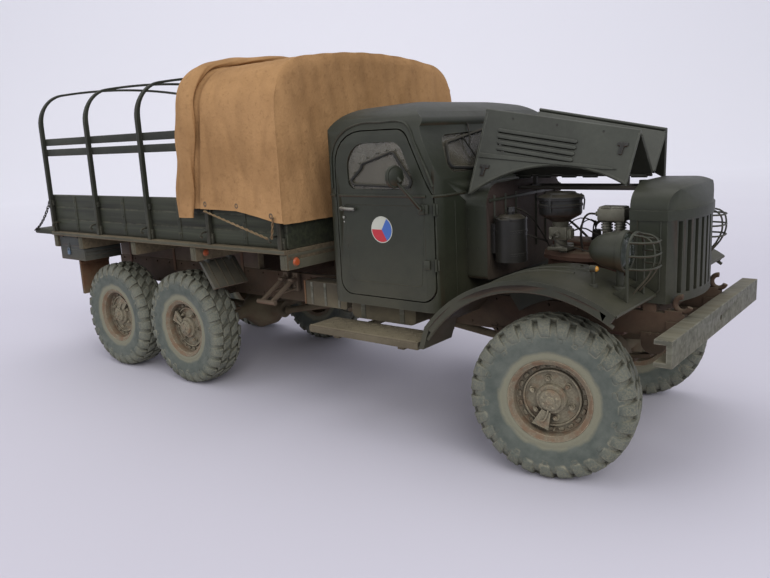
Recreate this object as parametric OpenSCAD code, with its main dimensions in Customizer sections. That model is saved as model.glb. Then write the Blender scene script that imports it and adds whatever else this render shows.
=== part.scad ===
// Six-wheel cargo truck, a plastic scale model with its bonnet open and its cover half rolled back.
// Millimetres. X points forward, Y to the truck's left, Z up, with the ground at Z = 0.
// Lengths along X are first set out from the front axle, then moved so that X = 0 is mid-length.

/* [Wheels and axles] */
// Front axle to middle axle
wheelbase = 104.6; // [80:0.1:130]
// Middle axle to rear axle
bogie_base = 32; // [31.5:0.1:40]
// Tyre centre to tyre centre across the truck
track = 50.6; // [46:0.1:60]
// Tyre outer radius
tyre_r = 15.3; // [13:0.1:15.6]
// Tyre width at its widest
tyre_w = 9; // [7:0.1:10]
// Radius of the rim barrel that the tyre sits on
rim_r = 7.3; // [6:0.1:8.5]
// Angle that the front wheels are turned to the left
steer_deg = 12.6; // [-25:0.1:25]
// Radius of the stub that each wheel turns on
stub_r = 1.3; // [1:0.05:1.6]
// Radial clearance of every turning fit
run_fit = 0.05; // [0.02:0.01:0.1]
// Radius of the axle tubes
axle_tube_r = 1.8; // [1.5:0.1:2.2]
// Radius of the differential housings
diff_r = 5.7; // [4.5:0.1:6.5]

/* [Frame] */
// Half the distance between the centres of the two side rails
rail_y = 11.4; // [10:0.1:13]
// Side rail width
rail_w = 1.8; // [1.2:0.1:2.4]
// Side rail height
rail_h = 7.3; // [5:0.1:7.4]
// Height of the top of the side rails
rail_top = 29.7; // [29:0.1:31]
// Front face of the bumper, ahead of the front axle
bumper_x = 23.3; // [21:0.1:27]
// Bumper length across the truck
bumper_l = 56; // [44:0.1:62]
// Bumper height
bumper_h = 4.6; // [3.6:0.1:5.5]
// Height of the bumper's lower edge
bumper_z = 24.6; // [22:0.1:26]
// Depth of the bumper channel
bumper_d = 3; // [2:0.1:4]

/* [Cab] */
// Rear wall of the cab, behind the front axle
cab_rear = 51.2; // [48:0.1:55]
// Front shoulder of the cab, behind the front axle
cab_front = 22.2; // [20:0.1:24]
// Cab width
cab_w = 54; // [48:0.1:60]
// Height of the cab's lower edge
cab_bottom = 28.2; // [26:0.1:29]
// Height of the middle of the roof
cab_top = 70.3; // [66:0.1:74]
// Thickness of the cab's walls and doors
cab_wall = 1.2; // [0.9:0.1:1.6]
// Gap around each door
door_gap = 0.25; // [0.15:0.05:0.4]
// Height of the cab floor's top
cab_floor_z = 32.5; // [32.4:0.1:34]

/* [Bonnet] */
// Height of the centre hinge line
bonnet_z = 53.6; // [52:0.1:56]
// Width of one top panel at its rear end
bonnet_rear_w = 18.1; // [16:0.1:20]
// Width of one top panel at its front end
bonnet_front_w = 10.9; // [9:0.1:12.4]
// Depth of a side panel at its rear tip
bonnet_side_d = 17.4; // [14:0.1:17.6]
// Angle that the top panels are raised
bonnet_open = 50; // [30:1:60]
// Angle between a top panel and its side panel as shown
bonnet_fold = 120.7; // [90:0.1:135]
// Panel thickness
bonnet_t = 0.7; // [0.5:0.05:1]

/* [Radiator shell and wings] */
// Front of the radiator shell, ahead of the front axle
shell_x = 20.2; // [18:0.1:20.2]
// Radiator shell width
shell_w = 25.2; // [22:0.1:27]
// Radiator shell depth, front to back
shell_d = 10; // [9:0.1:10.4]
// Height of the top of the shell
shell_top = 53; // [50:0.1:53.1]
// Outer radius of the wing's arch
wing_r = 28.5; // [25:0.1:31]
// Height of the top of the wings
wing_top = 37.8; // [36:0.1:39]
// Half the overall width across the wings
wing_y = 32; // [30:0.1:34]
// Wing sheet thickness
wing_t = 0.8; // [0.6:0.1:1.2]

/* [Load bed] */
// Front end of the load bed, behind the front axle
bed_front = 59; // [58:0.1:66]
// Length of the load bed
bed_l = 101.5; // [96:0.1:120]
// Width of the bed floor
bed_w = 66; // [58:0.1:72]
// Height of the top of the bed floor
bed_z = 39.7; // [38.5:0.1:42]
// Height of the side boards
board_h = 10.9; // [8:0.1:14]
// Thickness of the boards
board_t = 1.2; // [0.9:0.1:1.6]
// Length of the lowered tailgate
gate_l = 12; // [9:0.1:14]
// Number of cover hoops
hoops_n = 5; // [3:1:7]
// Radius of the hoop bar
hoop_r = 0.55; // [0.4:0.05:0.8]
// Height of the highest point of the hoops
hoop_top = 82.2; // [74:0.1:90]
// Corner radius of the hoops
hoop_corner = 9; // [6:0.1:12]

/* [Cover] */
// Length of the bed that the cover still hides
cover_l = 32.6; // [28:0.1:44]
// Cover thickness
cover_t = 0.6; // [0.5:0.05:1]
// Clearance between the cover and the hoops
cover_gap = 0.3; // [0.25:0.05:0.6]
// How far the cover hangs below the top of the boards
cover_drop = 4; // [1:0.1:8]
// Length along the truck of the rolled rear end of the cover
roll_l = 6.8; // [3:0.1:7.4]
// Thickness of the rolled rear end of the cover
roll_t = 2.3; // [1.4:0.1:3]

/* [Hidden] */
$fn = 48;
olive = [0.27, 0.29, 0.23];
rust = [0.36, 0.25, 0.19];
dust = [0.52, 0.47, 0.36];
seat = 0.1;
middle_x = -wheelbase;
rear_x = -wheelbase - bogie_base;
hinge_gap = 0.15;
gate_t = 1.3;
bed_rear_x = -bed_front - bed_l;
gate_x = bed_rear_x - gate_t / 2 - hinge_gap;
gate_z = bed_z - 0.4;
frame_shift = -(bumper_x + gate_x - gate_l) / 2;
kingpin_y = track / 2 - 6.5;
kingpin_r = 0.9;
board_y = bed_w / 2 - 1.3;
post_y = board_y + 0.1 + hoop_r;
bearer_z = bed_z - 4.6;
cover_inner_y = post_y + hoop_r + cover_gap;
cover_outer_y = cover_inner_y + cover_t;
cover_front_x = -bed_front + 0.6 + cover_gap + cover_t;

// Moves a piece from the front-axle origin to the mid-length origin.
module placed() {
    translate([frame_shift, 0, 0]) children();
}

// Both sides of the truck.
module both() {
    children();
    mirror([0, 1, 0]) children();
}

// A block between two corners.
module block(x, y, z) {
    translate([x[0], y[0], z[0]]) cube([x[1] - x[0], y[1] - y[0], z[1] - z[0]]);
}

// A round bar between two points.
module rod(a, b, r) {
    d = b - a;
    n = norm(d);
    translate(a)
        rotate([0, acos(d[2] / n), atan2(d[1], d[0])])
            cylinder(r = r, h = n);
}

// A cylinder along Y, centred on its point.
module disc_y(x, y, z, r, h) {
    translate([x, y, z]) rotate([90, 0, 0]) cylinder(r = r, h = h, center = true);
}

// An outline seen from the side, drawn as [x, z], spanning y0 to y1.
module side_plate(pts, y0, y1) {
    translate([0, y1, 0]) rotate([90, 0, 0]) linear_extrude(y1 - y0) polygon(pts);
}

// An outline seen from the front, drawn as [y, z], spanning x0 to x1.
module front_plate(pts, x0, x1) {
    translate([x0, 0, 0])
        rotate([90, 0, 90])
            linear_extrude(x1 - x0) polygon(pts);
}

// The corners of an outline, each given as [a, b, radius], rounded by arcs of n steps.
function unit(v) = v / norm(v);
function corner(p, q, s, n) =
    let (o = [q[0], q[1]], u = unit([p[0], p[1]] - o), v = unit([s[0], s[1]] - o))
    let (half = acos(max(-1, min(1, u * v))) / 2, r = q[2])
    r <= 0 || half > 89 ? [o] :
    let (c = o + unit(u + v) * r / sin(half), a = o + u * r / tan(half), b = o + v * r / tan(half))
    let (a0 = atan2(a[1] - c[1], a[0] - c[0]), raw = atan2(b[1] - c[1], b[0] - c[0]) - a0)
    let (sweep = raw > 180 ? raw - 360 : raw < -180 ? raw + 360 : raw)
    [for (i = [0:n]) c + r * [cos(a0 + sweep * i / n), sin(a0 + sweep * i / n)]];
function rounded(p, n = 6) =
    [for (i = [0:len(p) - 1])
        for (q = corner(p[(i + len(p) - 1) % len(p)], p[i], p[(i + 1) % len(p)], n)) q];

// ---- Frame ----

rail_front_x = bumper_x - bumper_d - 0.1;
rail_rear_x = bed_rear_x + 2.2;
rail_z0 = rail_top - rail_h;
rail_nose_z0 = rail_top - 4.5;
spring_y = rail_y - 0.2;
front_hanger_x = 15;
rear_hanger_x = -17;
trunnion_x = (middle_x + rear_x) / 2;
cross_x = [12.6, -33, -54, -86, trunnion_x, rail_rear_x + 2];

module tow_hook() {
    translate([rail_front_x - 1, 0, rail_top]) {
        block([-2.4, 0.6], [-0.9, 0.9], [-0.2, 0.5]);
        translate([0.5, 0, 1.75])
            rotate([90, -90, 0])
                rotate_extrude(angle = 250) translate([1.35, 0]) circle(r = 0.5, $fn = 20);
    }
}

// A hanger under the rail whose rounded foot sits on the end of a spring.
module spring_hanger(x, z1, r) {
    side_plate(rounded([[x - 2.4, z1, 0], [x + 2.4, z1, 0], [x + r + 0.1, front_eye_z, r],
        [x - r - 0.1, front_eye_z, r]]), spring_y - 1.5, spring_y + 1.4);
}

module chassis_frame() {
    color(rust) placed() {
        both() {
            side_plate([[rail_rear_x, rail_z0], [-4, rail_z0], [8, rail_nose_z0], [rail_front_x, rail_nose_z0],
                [rail_front_x, rail_top], [rail_rear_x, rail_top]], rail_y - rail_w / 2, rail_y + rail_w / 2);
            block([rail_front_x - 3, bumper_x - 1 - seat], [rail_y - 1.2, rail_y + 1.2],
                [bumper_z + 1, bumper_z + bumper_h - 1]);
            block([core_x + 1, core_x + 3.4], [rail_y - 0.8, rail_y + 0.8], [rail_top - 0.5, shell_z0 - seat]);
            spring_hanger(front_hanger_x, rail_nose_z0 + 0.6, 2.1);
            spring_hanger(rear_hanger_x, rail_z0 + 0.6, 0.9);
            translate([0, rail_y, 0]) tow_hook();
            block([trunnion_x - 2.6, trunnion_x + 2.6], [spring_y - 1.4, spring_y + 1.4],
                [trunnion_z, rail_z0 + 1]);
        }
        for (x = cross_x)
            block([x - 1, x + 1], [-rail_y, rail_y], [rail_top - 2.6, rail_top - 0.6]);
    }
}

module bumper() {
    z1 = bumper_z + bumper_h;
    color([0.42, 0.43, 0.4]) placed() {
        difference() {
            block([bumper_x - bumper_d, bumper_x], [-bumper_l / 2, bumper_l / 2], [bumper_z, z1]);
            block([bumper_x - bumper_d - 1, bumper_x - 1], [-bumper_l / 2 - 1, bumper_l / 2 + 1],
                [bumper_z + 0.8, z1 - 0.8]);
            translate([bumper_x, 0, bumper_z + bumper_h / 2]) rotate([0, 90, 0])
                cylinder(r = 0.55, h = 4, center = true, $fn = 24);
        }
    }
}

// ---- Springs and axles ----

leaf_t = 0.6;
leaf_n = 4;
leaf_w = 2.2;
leaf_r = 60;
front_spring_half = (front_hanger_x - rear_hanger_x) / 2;
front_spring_x = (front_hanger_x + rear_hanger_x) / 2;
front_spring_z = tyre_r + axle_tube_r + 0.1;
front_eye_z = front_spring_z + leaf_n * leaf_t + seat
    + (leaf_r - leaf_n * leaf_t) * (1 - cos(asin(front_spring_half / leaf_r)));
rear_spring_half = bogie_base / 2 + 1.4;
rear_spring_z = tyre_r + axle_tube_r + 0.2 + leaf_r - sqrt(leaf_r * leaf_r - bogie_base * bogie_base / 4);
trunnion_z = rear_spring_z + leaf_n * leaf_t + seat;

// A pack of curved leaves. Its ends rise when up is 1 and fall when up is -1.
module leaf_pack(half, up) {
    translate([0, leaf_w / 2, 0])
        rotate([90, 0, 0])
            for (i = [0:leaf_n - 1]) {
                reach = asin(half / leaf_r) * (1 - 0.2 * (up > 0 ? leaf_n - 1 - i : i));
                r = leaf_r - up * leaf_t * i;
                translate([0, up * leaf_r])
                    rotate([0, 0, -90 * up - reach])
                        rotate_extrude(angle = 2 * reach, $fn = 360)
                            translate([r - (up > 0 ? leaf_t : 0), 0]) square([leaf_t, leaf_w]);
            }
}

module leaf_springs() {
    color(rust) placed() both() {
        translate([front_spring_x, spring_y, front_spring_z]) leaf_pack(front_spring_half, 1);
        translate([trunnion_x, spring_y, rear_spring_z]) leaf_pack(rear_spring_half, -1);
    }
}

// A driven axle's housing about its own centre: differential, cones, tube and pinion nose.
module axle_housing(half, nose) {
    rotate([90, 0, 0]) cylinder(r = diff_r, h = 5, center = true);
    both() translate([0, 2.5, 0]) rotate([-90, 0, 0]) cylinder(r1 = diff_r, r2 = axle_tube_r, h = 5);
    rotate([90, 0, 0]) cylinder(r = axle_tube_r, h = 2 * half, center = true);
    rotate([0, 90 * nose, 0]) cylinder(r = 2.3, h = diff_r + 3.4);
}

nose_x = diff_r + 3.4;
stub_out = 3.1;

module front_axle() {
    color(rust) placed() translate([0, 0, tyre_r]) {
        difference() {
            union() {
                axle_housing(kingpin_y, -1);
                both() translate([0, kingpin_y, 0]) cylinder(r = 2.1, h = 5.6, center = true);
            }
            both() translate([0, kingpin_y, 0]) cylinder(r = kingpin_r + run_fit, h = 8, center = true);
        }
    }
}

module rear_axles() {
    color(rust) placed() {
        for (x = [middle_x, rear_x])
            translate([x, 0, tyre_r]) {
                axle_housing(track / 2 - tyre_w / 2 - 0.4, 1);
                both() translate([0, track / 2 - tyre_w / 2 - 0.6, 0]) rotate([-90, 0, 0])
                    cylinder(r = stub_r, h = tyre_w / 2 + 0.6 + stub_out - 1);
            }
        translate([middle_x, 0, tyre_r]) rotate([0, -90, 0]) cylinder(r = 1.6, h = diff_r + 1.5);
    }
}

// The knuckle of the left wheel with its kingpin, two arms and stub, about the kingpin.
module knuckle_shape() {
    reach = track / 2 - kingpin_y;
    cylinder(r = kingpin_r, h = 8.4, center = true);
    for (s = [-1, 1])
        block([-1.4, 1.4], [-0.9, 3.4], s > 0 ? [3, 4.2] : [-4.2, -3]);
    block([-1.4, 1.4], [2.5, 3.4], [-4.2, 4.2]);
    translate([0, 3, 0]) rotate([-90, 0, 0]) cylinder(r = stub_r, h = reach - 3 + stub_out - 1);
}

module knuckle_at(side) {
    color(rust) placed()
        translate([0, side * kingpin_y, tyre_r])
            rotate([0, 0, steer_deg])
                if (side > 0) knuckle_shape(); else mirror([0, 1, 0]) knuckle_shape();
}

module knuckle_right() {
    knuckle_at(-1);
}

module knuckle_left() {
    knuckle_at(1);
}

// ---- Wheels ----

rim_half = 3.5;
bead_r = rim_r + 0.05;
shoulder = tyre_w / 2;

module tyre_shape() {
    rotate([90, 0, 0])
        rotate_extrude($fn = 72)
            polygon([[bead_r, -rim_half + 0.1], [bead_r, rim_half - 0.1], [bead_r + 0.7, rim_half - 0.05],
                [bead_r + 1.6, shoulder - 0.4], [(rim_r + tyre_r) / 2, shoulder], [tyre_r - 2, shoulder - 0.1],
                [tyre_r - 0.7, shoulder - 0.5], [tyre_r, shoulder - 1.3], [tyre_r, 1.3 - shoulder],
                [tyre_r - 0.7, 0.5 - shoulder], [tyre_r - 2, 0.1 - shoulder], [(rim_r + tyre_r) / 2, -shoulder],
                [bead_r + 1.6, 0.4 - shoulder], [bead_r + 0.7, 0.05 - rim_half]]);
}

// The steel wheel of the left side: rim, disc and hub with a blind bore, outboard along +Y.
module wheel_shape() {
    difference() {
        rotate([-90, 0, 0])
            rotate_extrude($fn = 72)
                polygon([[stub_r + run_fit, -0.6], [2.6, -0.6], [2.9, 0.9], [5.2, 0.4], [rim_r - 0.7, 0.2],
                    [rim_r - 0.5, -rim_half], [rim_r + 0.5, -rim_half - 0.3], [rim_r + 0.5, -rim_half],
                    [rim_r, -rim_half + 0.1], [rim_r, rim_half - 0.1], [rim_r + 0.5, rim_half],
                    [rim_r + 0.5, rim_half + 0.3], [rim_r - 0.5, rim_half + 0.1], [rim_r - 0.8, 1.1],
                    [5.2, 1.3], [2.9, 1.9], [2.5, stub_out + 0.2], [0, stub_out + 0.3], [0, stub_out - 0.9],
                    [stub_r + run_fit, stub_out - 0.9]]);
    }
}

module wheel_place(x, side, turned) {
    placed()
        translate([x, side * (turned ? kingpin_y : track / 2), tyre_r])
            rotate([0, 0, turned ? steer_deg : 0])
                translate([0, turned ? side * (track / 2 - kingpin_y) : 0, 0])
                    children();
}

module tyre_at(x, side, turned) {
    color([0.2, 0.22, 0.22]) wheel_place(x, side, turned) tyre_shape();
}

module wheel_at(x, side, turned) {
    color(dust) wheel_place(x, side, turned)
        if (side > 0) wheel_shape(); else mirror([0, 1, 0]) wheel_shape();
}

module tyre_front_right() { tyre_at(0, -1, true); }
module tyre_front_left() { tyre_at(0, 1, true); }
module tyre_middle_right() { tyre_at(middle_x, -1, false); }
module tyre_middle_left() { tyre_at(middle_x, 1, false); }
module tyre_rear_right() { tyre_at(rear_x, -1, false); }
module tyre_rear_left() { tyre_at(rear_x, 1, false); }
module wheel_front_right() { wheel_at(0, -1, true); }
module wheel_front_left() { wheel_at(0, 1, true); }
module wheel_middle_right() { wheel_at(middle_x, -1, false); }
module wheel_middle_left() { wheel_at(middle_x, 1, false); }
module wheel_rear_right() { wheel_at(rear_x, -1, false); }
module wheel_rear_left() { wheel_at(rear_x, 1, false); }

// ---- Driveline and engine ----

transfer_x = -62;
transfer_z = 24;

module driveline() {
    color([0.3, 0.27, 0.24]) placed() {
        block([-29.2, -14], [-4, 4], [22.2, 29.6]);
        translate([-14, 0, 25.8]) rotate([0, 90, 0]) cylinder(r = 4, h = 3.9);
        rod([-29, 0, 25.8], [transfer_x + 5, 0, 25.8], 0.9);
        block([transfer_x - 5, transfer_x + 5], [-4.5, 4.5], [transfer_z - 5, transfer_z + 4]);
        block([transfer_x - 1.5, transfer_x + 1.5], [-rail_y + rail_w / 2 + seat, rail_y - rail_w / 2 - seat],
            [transfer_z + 3, transfer_z + 5.6]);
        block([-26, -23], [-rail_y + rail_w / 2 + seat, rail_y - rail_w / 2 - seat], [27.2, 29]);
        rod([transfer_x + 4, 0, transfer_z - 3], [-nose_x - 1.3, 0, tyre_r], 0.9);
        translate([-nose_x - 1.3, 0, tyre_r]) sphere(r = 1.25);
        rod([transfer_x - 4, 0, transfer_z - 3], [middle_x + nose_x + 1.3, 0, tyre_r], 0.9);
        translate([middle_x + nose_x + 1.3, 0, tyre_r]) sphere(r = 1.25);
        translate([middle_x - diff_r - 1.55, 0, tyre_r]) rotate([0, -90, 0])
            cylinder(r = 0.9, h = bogie_base - nose_x - diff_r - 1.6);
    }
}

module engine() {
    color(rust) placed() {
        block([-10, 6.5], [-4.6, 4.6], [22.2, 40.6]);
        block([-9.6, 3.6], [-7.6, -4.5], [36.6, 39.6]);
        block([6.5, 8], [-2.4, 2.4], [29, 36]);
        block([-4, -1.6], [-rail_y + rail_w / 2 + seat, rail_y - rail_w / 2 - seat], [27.4, 30.4]);
        translate([5.4, -8, 40]) {
            block([-2.4, 2.4], [-1.8, 3.6], [-1.2, 4.2]);
            for (x = [-1.3, 1.3])
                translate([x, 0, 4]) cylinder(r = 0.8, h = 1.8, $fn = 24);
            block([-2.7, 2.7], [-1.7, 1.7], [5.6, 8.4]);
        }
        block([3, 6.4], [-6, -4.4], [37, 40.2]);
    }
}

module air_cleaner() {
    color([0.12, 0.12, 0.12]) placed() translate([-5, -9, 0]) {
        translate([0, 0, 39.7]) cylinder(r = 1.9, h = 5.8);
        translate([0, 0, 45.2]) cylinder(r1 = 1.4, r2 = 3.6, h = 1.4);
        translate([0, 0, 46.4]) cylinder(r = 4.3, h = 3.2);
        translate([0, 0, 49.6]) cylinder(r1 = 4.5, r2 = 3.2, h = 1.6);
    }
}

core_x = shell_x - 8.4;

module radiator() {
    color([0.16, 0.16, 0.15]) placed() {
        block([core_x, core_x + 3], [-shell_w / 2 + 2, shell_w / 2 - 2], [shell_z0, shell_top - 5]);
        both() block([core_x, core_x + 3], [rail_y - 0.9, rail_y - 0.1], [shell_z0, shell_z0 + 4]);
        both() rod([-cowl_x + 0.15, 3, bonnet_z - 2.3], [core_x + 1, 3, bonnet_z - 2.3], 0.4);
        block([core_x, core_x + 1.4], [-4, 4], [shell_top - 5.5, shell_top - 1.8]);
        rod([bonnet_rear_x + 0.2, 0, bonnet_z], [bonnet_front_x - 0.2, 0, bonnet_z], pin_r, $fn = 24);
        for (x = [-15.1, 4.9]) {
            block([x - 0.4, x + 0.4], [-3, 3], [bonnet_z - 2.6, bonnet_z - 1.9]);
            block([x - 0.4, x + 0.4], [-pin_r, pin_r], [bonnet_z - 2.1, bonnet_z]);
        }
    }
}

// ---- Radiator shell, wings and lamps ----

shell_z0 = rail_top + 1.7;
shell_front_r = 26;
shell_cap_z = shell_top - 4.4;

// The plan of the shell, inset by the given amount: straight sides and a bowed front.
function shell_plan(inset) =
    let (w = shell_w / 2 - inset, r = shell_front_r - inset, cx = shell_x - shell_front_r)
    let (reach = asin(w / r))
    concat([[shell_x - shell_d - (inset > 0 ? 1 : 0), -w]],
        [for (i = [0:12]) let (a = reach * (i / 6 - 1)) [cx + r * cos(a), r * sin(a)]],
        [[shell_x - shell_d - (inset > 0 ? 1 : 0), w]]);

// The solid outer form of the shell, inset by the given amount.
module shell_form(inset) {
    w = shell_w / 2 - inset;
    top = shell_top - inset;
    intersection() {
        translate([0, 0, shell_z0 - (inset > 0 ? 1 : 0)]) linear_extrude(40) polygon(shell_plan(inset));
        front_plate(rounded([[-w, shell_z0 - 2, 0], [w, shell_z0 - 2, 0], [w, shell_cap_z + 2, 3.2],
            [w * 0.6, top, 9], [-w * 0.6, top, 9], [-w, shell_cap_z + 2, 3.2]], 8), -5, 40);
        side_plate(rounded([[shell_x - shell_d - 2, shell_z0 - 2, 0], [shell_x + 1, shell_z0 - 2, 0],
            [shell_x - inset + 0.2, shell_cap_z, 3], [shell_x - 2.6, top, 4], [shell_x - shell_d - 2, top, 0]], 8),
            -20, 20);
    }
}

module radiator_shell() {
    slots = 9;
    pitch = 2.4;
    color(olive) placed() {
        difference() {
            union() {
                shell_form(0);
                intersection() {
                    block([0, 40], [-shell_w / 2 - 0.3, shell_w / 2 + 0.3], [shell_cap_z - 2.2, shell_cap_z - 0.4]);
                    translate([0, 0, 30]) linear_extrude(30) polygon(shell_plan(-0.3));
                }
            }
            shell_form(1);
            for (i = [0:slots - 1])
                translate([shell_x - 2.5, (i - (slots - 1) / 2) * pitch, 0])
                    block([-4, 4], [-0.55, 0.55], [shell_z0 + 1.6, shell_cap_z - 2.5]);
        }
    }
}

wing_in = shell_w / 2 + 0.4;
wing_cz = wing_top - wing_r;
wing_front_x = 15.4;
wing_rear_x = -22.4;

// A sector of the wing's arch between two radii, two widths and two ends.
module wing_sector(r, y, x) {
    a0 = acos(x[1] / wing_r);
    a1 = acos(x[0] / wing_r);
    translate([0, y[0], wing_cz])
        rotate([90, 0, 0])
            rotate([0, 0, a0])
                mirror([0, 0, 1])
                    rotate_extrude(angle = a1 - a0, $fn = 180)
                        translate([r[0], 0]) square([r[1] - r[0], y[1] - y[0]]);
}

module wing() {
    end_z = wing_cz + sqrt(wing_r * wing_r - wing_rear_x * wing_rear_x);
    apron_y = rail_y + rail_w / 2 + seat;
    arch = [wing_rear_x, wing_front_x];
    wing_sector([wing_r - wing_t, wing_r], [wing_in, wing_y], arch);
    wing_sector([wing_r - 2, wing_r], [wing_y - 0.8, wing_y], arch);
    side_plate([[wing_rear_x - 0.1, end_z], [wing_rear_x + wing_t + 0.2, end_z], [wing_rear_x - 0.6, 22.2],
        [wing_rear_x - 1.7, 22.2]], wing_in + 9, wing_y);
    wing_sector([wing_r - 7, wing_r - 0.4], [apron_y, apron_y + 0.8], [-16, shell_x - shell_d - 1.2]);
}

module wings() {
    color(olive) placed() both() wing();
}

lamp_x = 10.4;
lamp_y = 20.4;
lamp_z = 42;
lamp_r = 3.4;

module headlamp() {
    foot_z = wing_cz + sqrt(wing_r * wing_r - pow(lamp_x - 0.3, 2)) - 0.15;
    translate([lamp_x, lamp_y, lamp_z]) rotate([0, 90, 0]) {
        translate([0, 0, -2.4]) cylinder(r1 = 1.4, r2 = 3, h = 2.2);
        translate([0, 0, -0.2]) cylinder(r1 = 3, r2 = lamp_r, h = 2.2);
        translate([0, 0, 2]) cylinder(r = lamp_r + 0.25, h = 0.8);
        translate([0, 0, 5.4])
            difference() {
                cylinder(r = 2.6, h = 0.5);
                translate([0, 0, -1]) cylinder(r = 2.1, h = 3);
            }
    }
    for (a = [45:90:315])
        rod([lamp_x + 2.5, lamp_y + 3.2 * cos(a), lamp_z + 3.2 * sin(a)],
            [lamp_x + 5.7, lamp_y + 2.35 * cos(a), lamp_z + 2.35 * sin(a)], 0.22, $fn = 16);
    for (s = [-1, 1])
        rod([lamp_x + 5.65, lamp_y - 2.2, lamp_z + s * 0.8], [lamp_x + 5.65, lamp_y + 2.2, lamp_z + s * 0.8], 0.2,
            $fn = 16);
    translate([lamp_x + 1.2, lamp_y, foot_z + 0.4]) cylinder(r = 0.7, h = lamp_z - foot_z - 2.4);
    translate([lamp_x + 1.2, lamp_y, foot_z + 0.25]) cylinder(r = 1.5, h = 0.7);
}

module marker_lamp() {
    z = wing_cz + sqrt(wing_r * wing_r - 81);
    translate([8.9, 24.6, z + 0.25]) cylinder(r = 0.5, h = 2);
    translate([8.9, 24.6, z + 1.9]) cylinder(r = 0.95, h = 1.3);
    translate([8.9, 24.6, z + 3.2]) sphere(r = 0.95, $fn = 28);
}

module headlamps() {
    color(olive) placed() both() {
        headlamp();
        marker_lamp();
    }
}

// ---- Cab ----

cab_y = cab_w / 2;
roof_side_z = cab_top - 8.3;
roof_r = 7;
cowl_x = 17.4;
cowl_w = 33.2;
cowl_top = bonnet_z - 0.6;
screen_z0 = bonnet_z + 0.9;
screen_z1 = cab_top - 6;
screen_lean = 3.8;

// The cab seen from the side, inset by the given amount.
function cab_side(i) = rounded([
    [-cab_rear + i, cab_bottom - (i > 0 ? 4 : 0), i > 0 ? 0 : 1.5],
    [-cab_rear + i, roof_side_z + 5 - i, 8 - i],
    [-cab_rear + 11, cab_top - i, 18],
    [-cab_front - 9, cab_top - 0.4 - i, 14],
    [-cab_front - screen_lean + 0.6 - i, screen_z1 + 1.8 - i * 0.4, 1.2],
    [-cab_front - screen_lean - i, screen_z1 + 0.6, 0],
    [-cab_front - i, screen_z0, 0.6],
    [-cab_front - i, cab_bottom - (i > 0 ? 4 : 0), i > 0 ? 0 : 1.5]], 8);

// The cab seen from the front, inset by the given amount.
function cab_section(i) = rounded([
    [-cab_y + i, cab_bottom - 5, 0],
    [-cab_y + i, roof_side_z + 6.6 - i, roof_r - i],
    [0, cab_top + 0.9 - i, 60],
    [cab_y - i, roof_side_z + 6.6 - i, roof_r - i],
    [cab_y - i, cab_bottom - 5, 0]], 8);

// The cab seen from above, inset by the given amount.
function cab_plan(i) = rounded([
    [-cab_rear + i, -cab_y + i, 3 - i],
    [-cab_front - i, -cab_y + i, 3 - i],
    [-cab_front - i, cab_y - i, 3 - i],
    [-cab_rear + i, cab_y - i, 3 - i]], 6);

module cab_form(i) {
    intersection() {
        side_plate(cab_side(i), -40, 40);
        front_plate(cab_section(i), -60, 0);
        translate([0, 0, 20]) linear_extrude(60) polygon(cab_plan(i));
    }
}

module cab_skin() {
    difference() {
        cab_form(0);
        cab_form(cab_wall);
    }
}

door_front_x = -cab_front - 1.2;
door_rear_x = -cab_rear + 3.4;
door_z0 = cab_bottom + 2.2;
door_z1 = cab_top - 5.8;
sill_z = 52.8;

// The door's outline, grown by the given amount.
function door_outline(g) = rounded([
    [door_front_x + g, door_z0 - g, 3],
    [door_front_x + g, sill_z - 1.5, 2],
    [door_front_x - 6.2 + g, door_z1 + g, 3.5],
    [door_rear_x - g, door_z1 + g, 7],
    [door_rear_x - g, door_z0 - g, 3]], 6);

// The door's window, grown by the given amount.
function window_outline(g) = rounded([
    [door_front_x - 3.4 + g, sill_z - g, 1.5],
    [door_front_x - 7.4 + g, door_z1 - 2.3 + g, 3],
    [door_rear_x + 2.9 - g, door_z1 - 2.3 + g, 5],
    [door_rear_x + 3.4 - g, sill_z - g, 2]], 6);

// One half of the windscreen, seen from the front, grown by the given amount.
function screen_outline(g) = rounded([
    [0.8 - g, screen_z0 + 1.2 - g, 0.6],
    [cab_y - 5.4 + g, screen_z0 + 1.2 - g, 2],
    [cab_y - 6.6 + g, screen_z1 - 1.2 + g, 2.5],
    [0.8 - g, screen_z1 - 0.6 + g, 0.6]], 4);

function rear_window(g) = rounded([
    [-9 - g, 54 - g, 2.5], [9 + g, 54 - g, 2.5], [9 + g, 62 + g, 2.5], [-9 - g, 62 + g, 2.5]], 4);

module door_cut(g) {
    side_plate(door_outline(g), cab_y - cab_wall - 1.6, cab_y + 2);
}

module cowl() {
    difference() {
        front_plate(rounded([[-cowl_w / 2, 33.6, 1], [-cowl_w / 2, cowl_top, 4.5], [cowl_w / 2, cowl_top, 4.5],
            [cowl_w / 2, 33.6, 1]]), -cab_front - 0.4, -cowl_x);
        front_plate(rounded([[-cowl_w / 2 + 1, 34.6, 0], [-cowl_w / 2 + 1, cowl_top - 1, 3.5],
            [cowl_w / 2 - 1, cowl_top - 1, 3.5], [cowl_w / 2 - 1, 34.6, 0]]), -cab_front - 3, -cowl_x - 1);
    }
}

module canister() {
    translate([-cowl_x + 3.5, -13, 37.4]) {
        cylinder(r = 3.2, h = 8.6);
        translate([0, 0, 8.6]) cylinder(r1 = 3.2, r2 = 2, h = 0.8);
        translate([0, 0, 9.3]) cylinder(r = 0.7, h = 1);
    }
    block([-cowl_x - 0.2, -cowl_x + 1.2], [-15, -11], [39, 45]);
}

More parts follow.
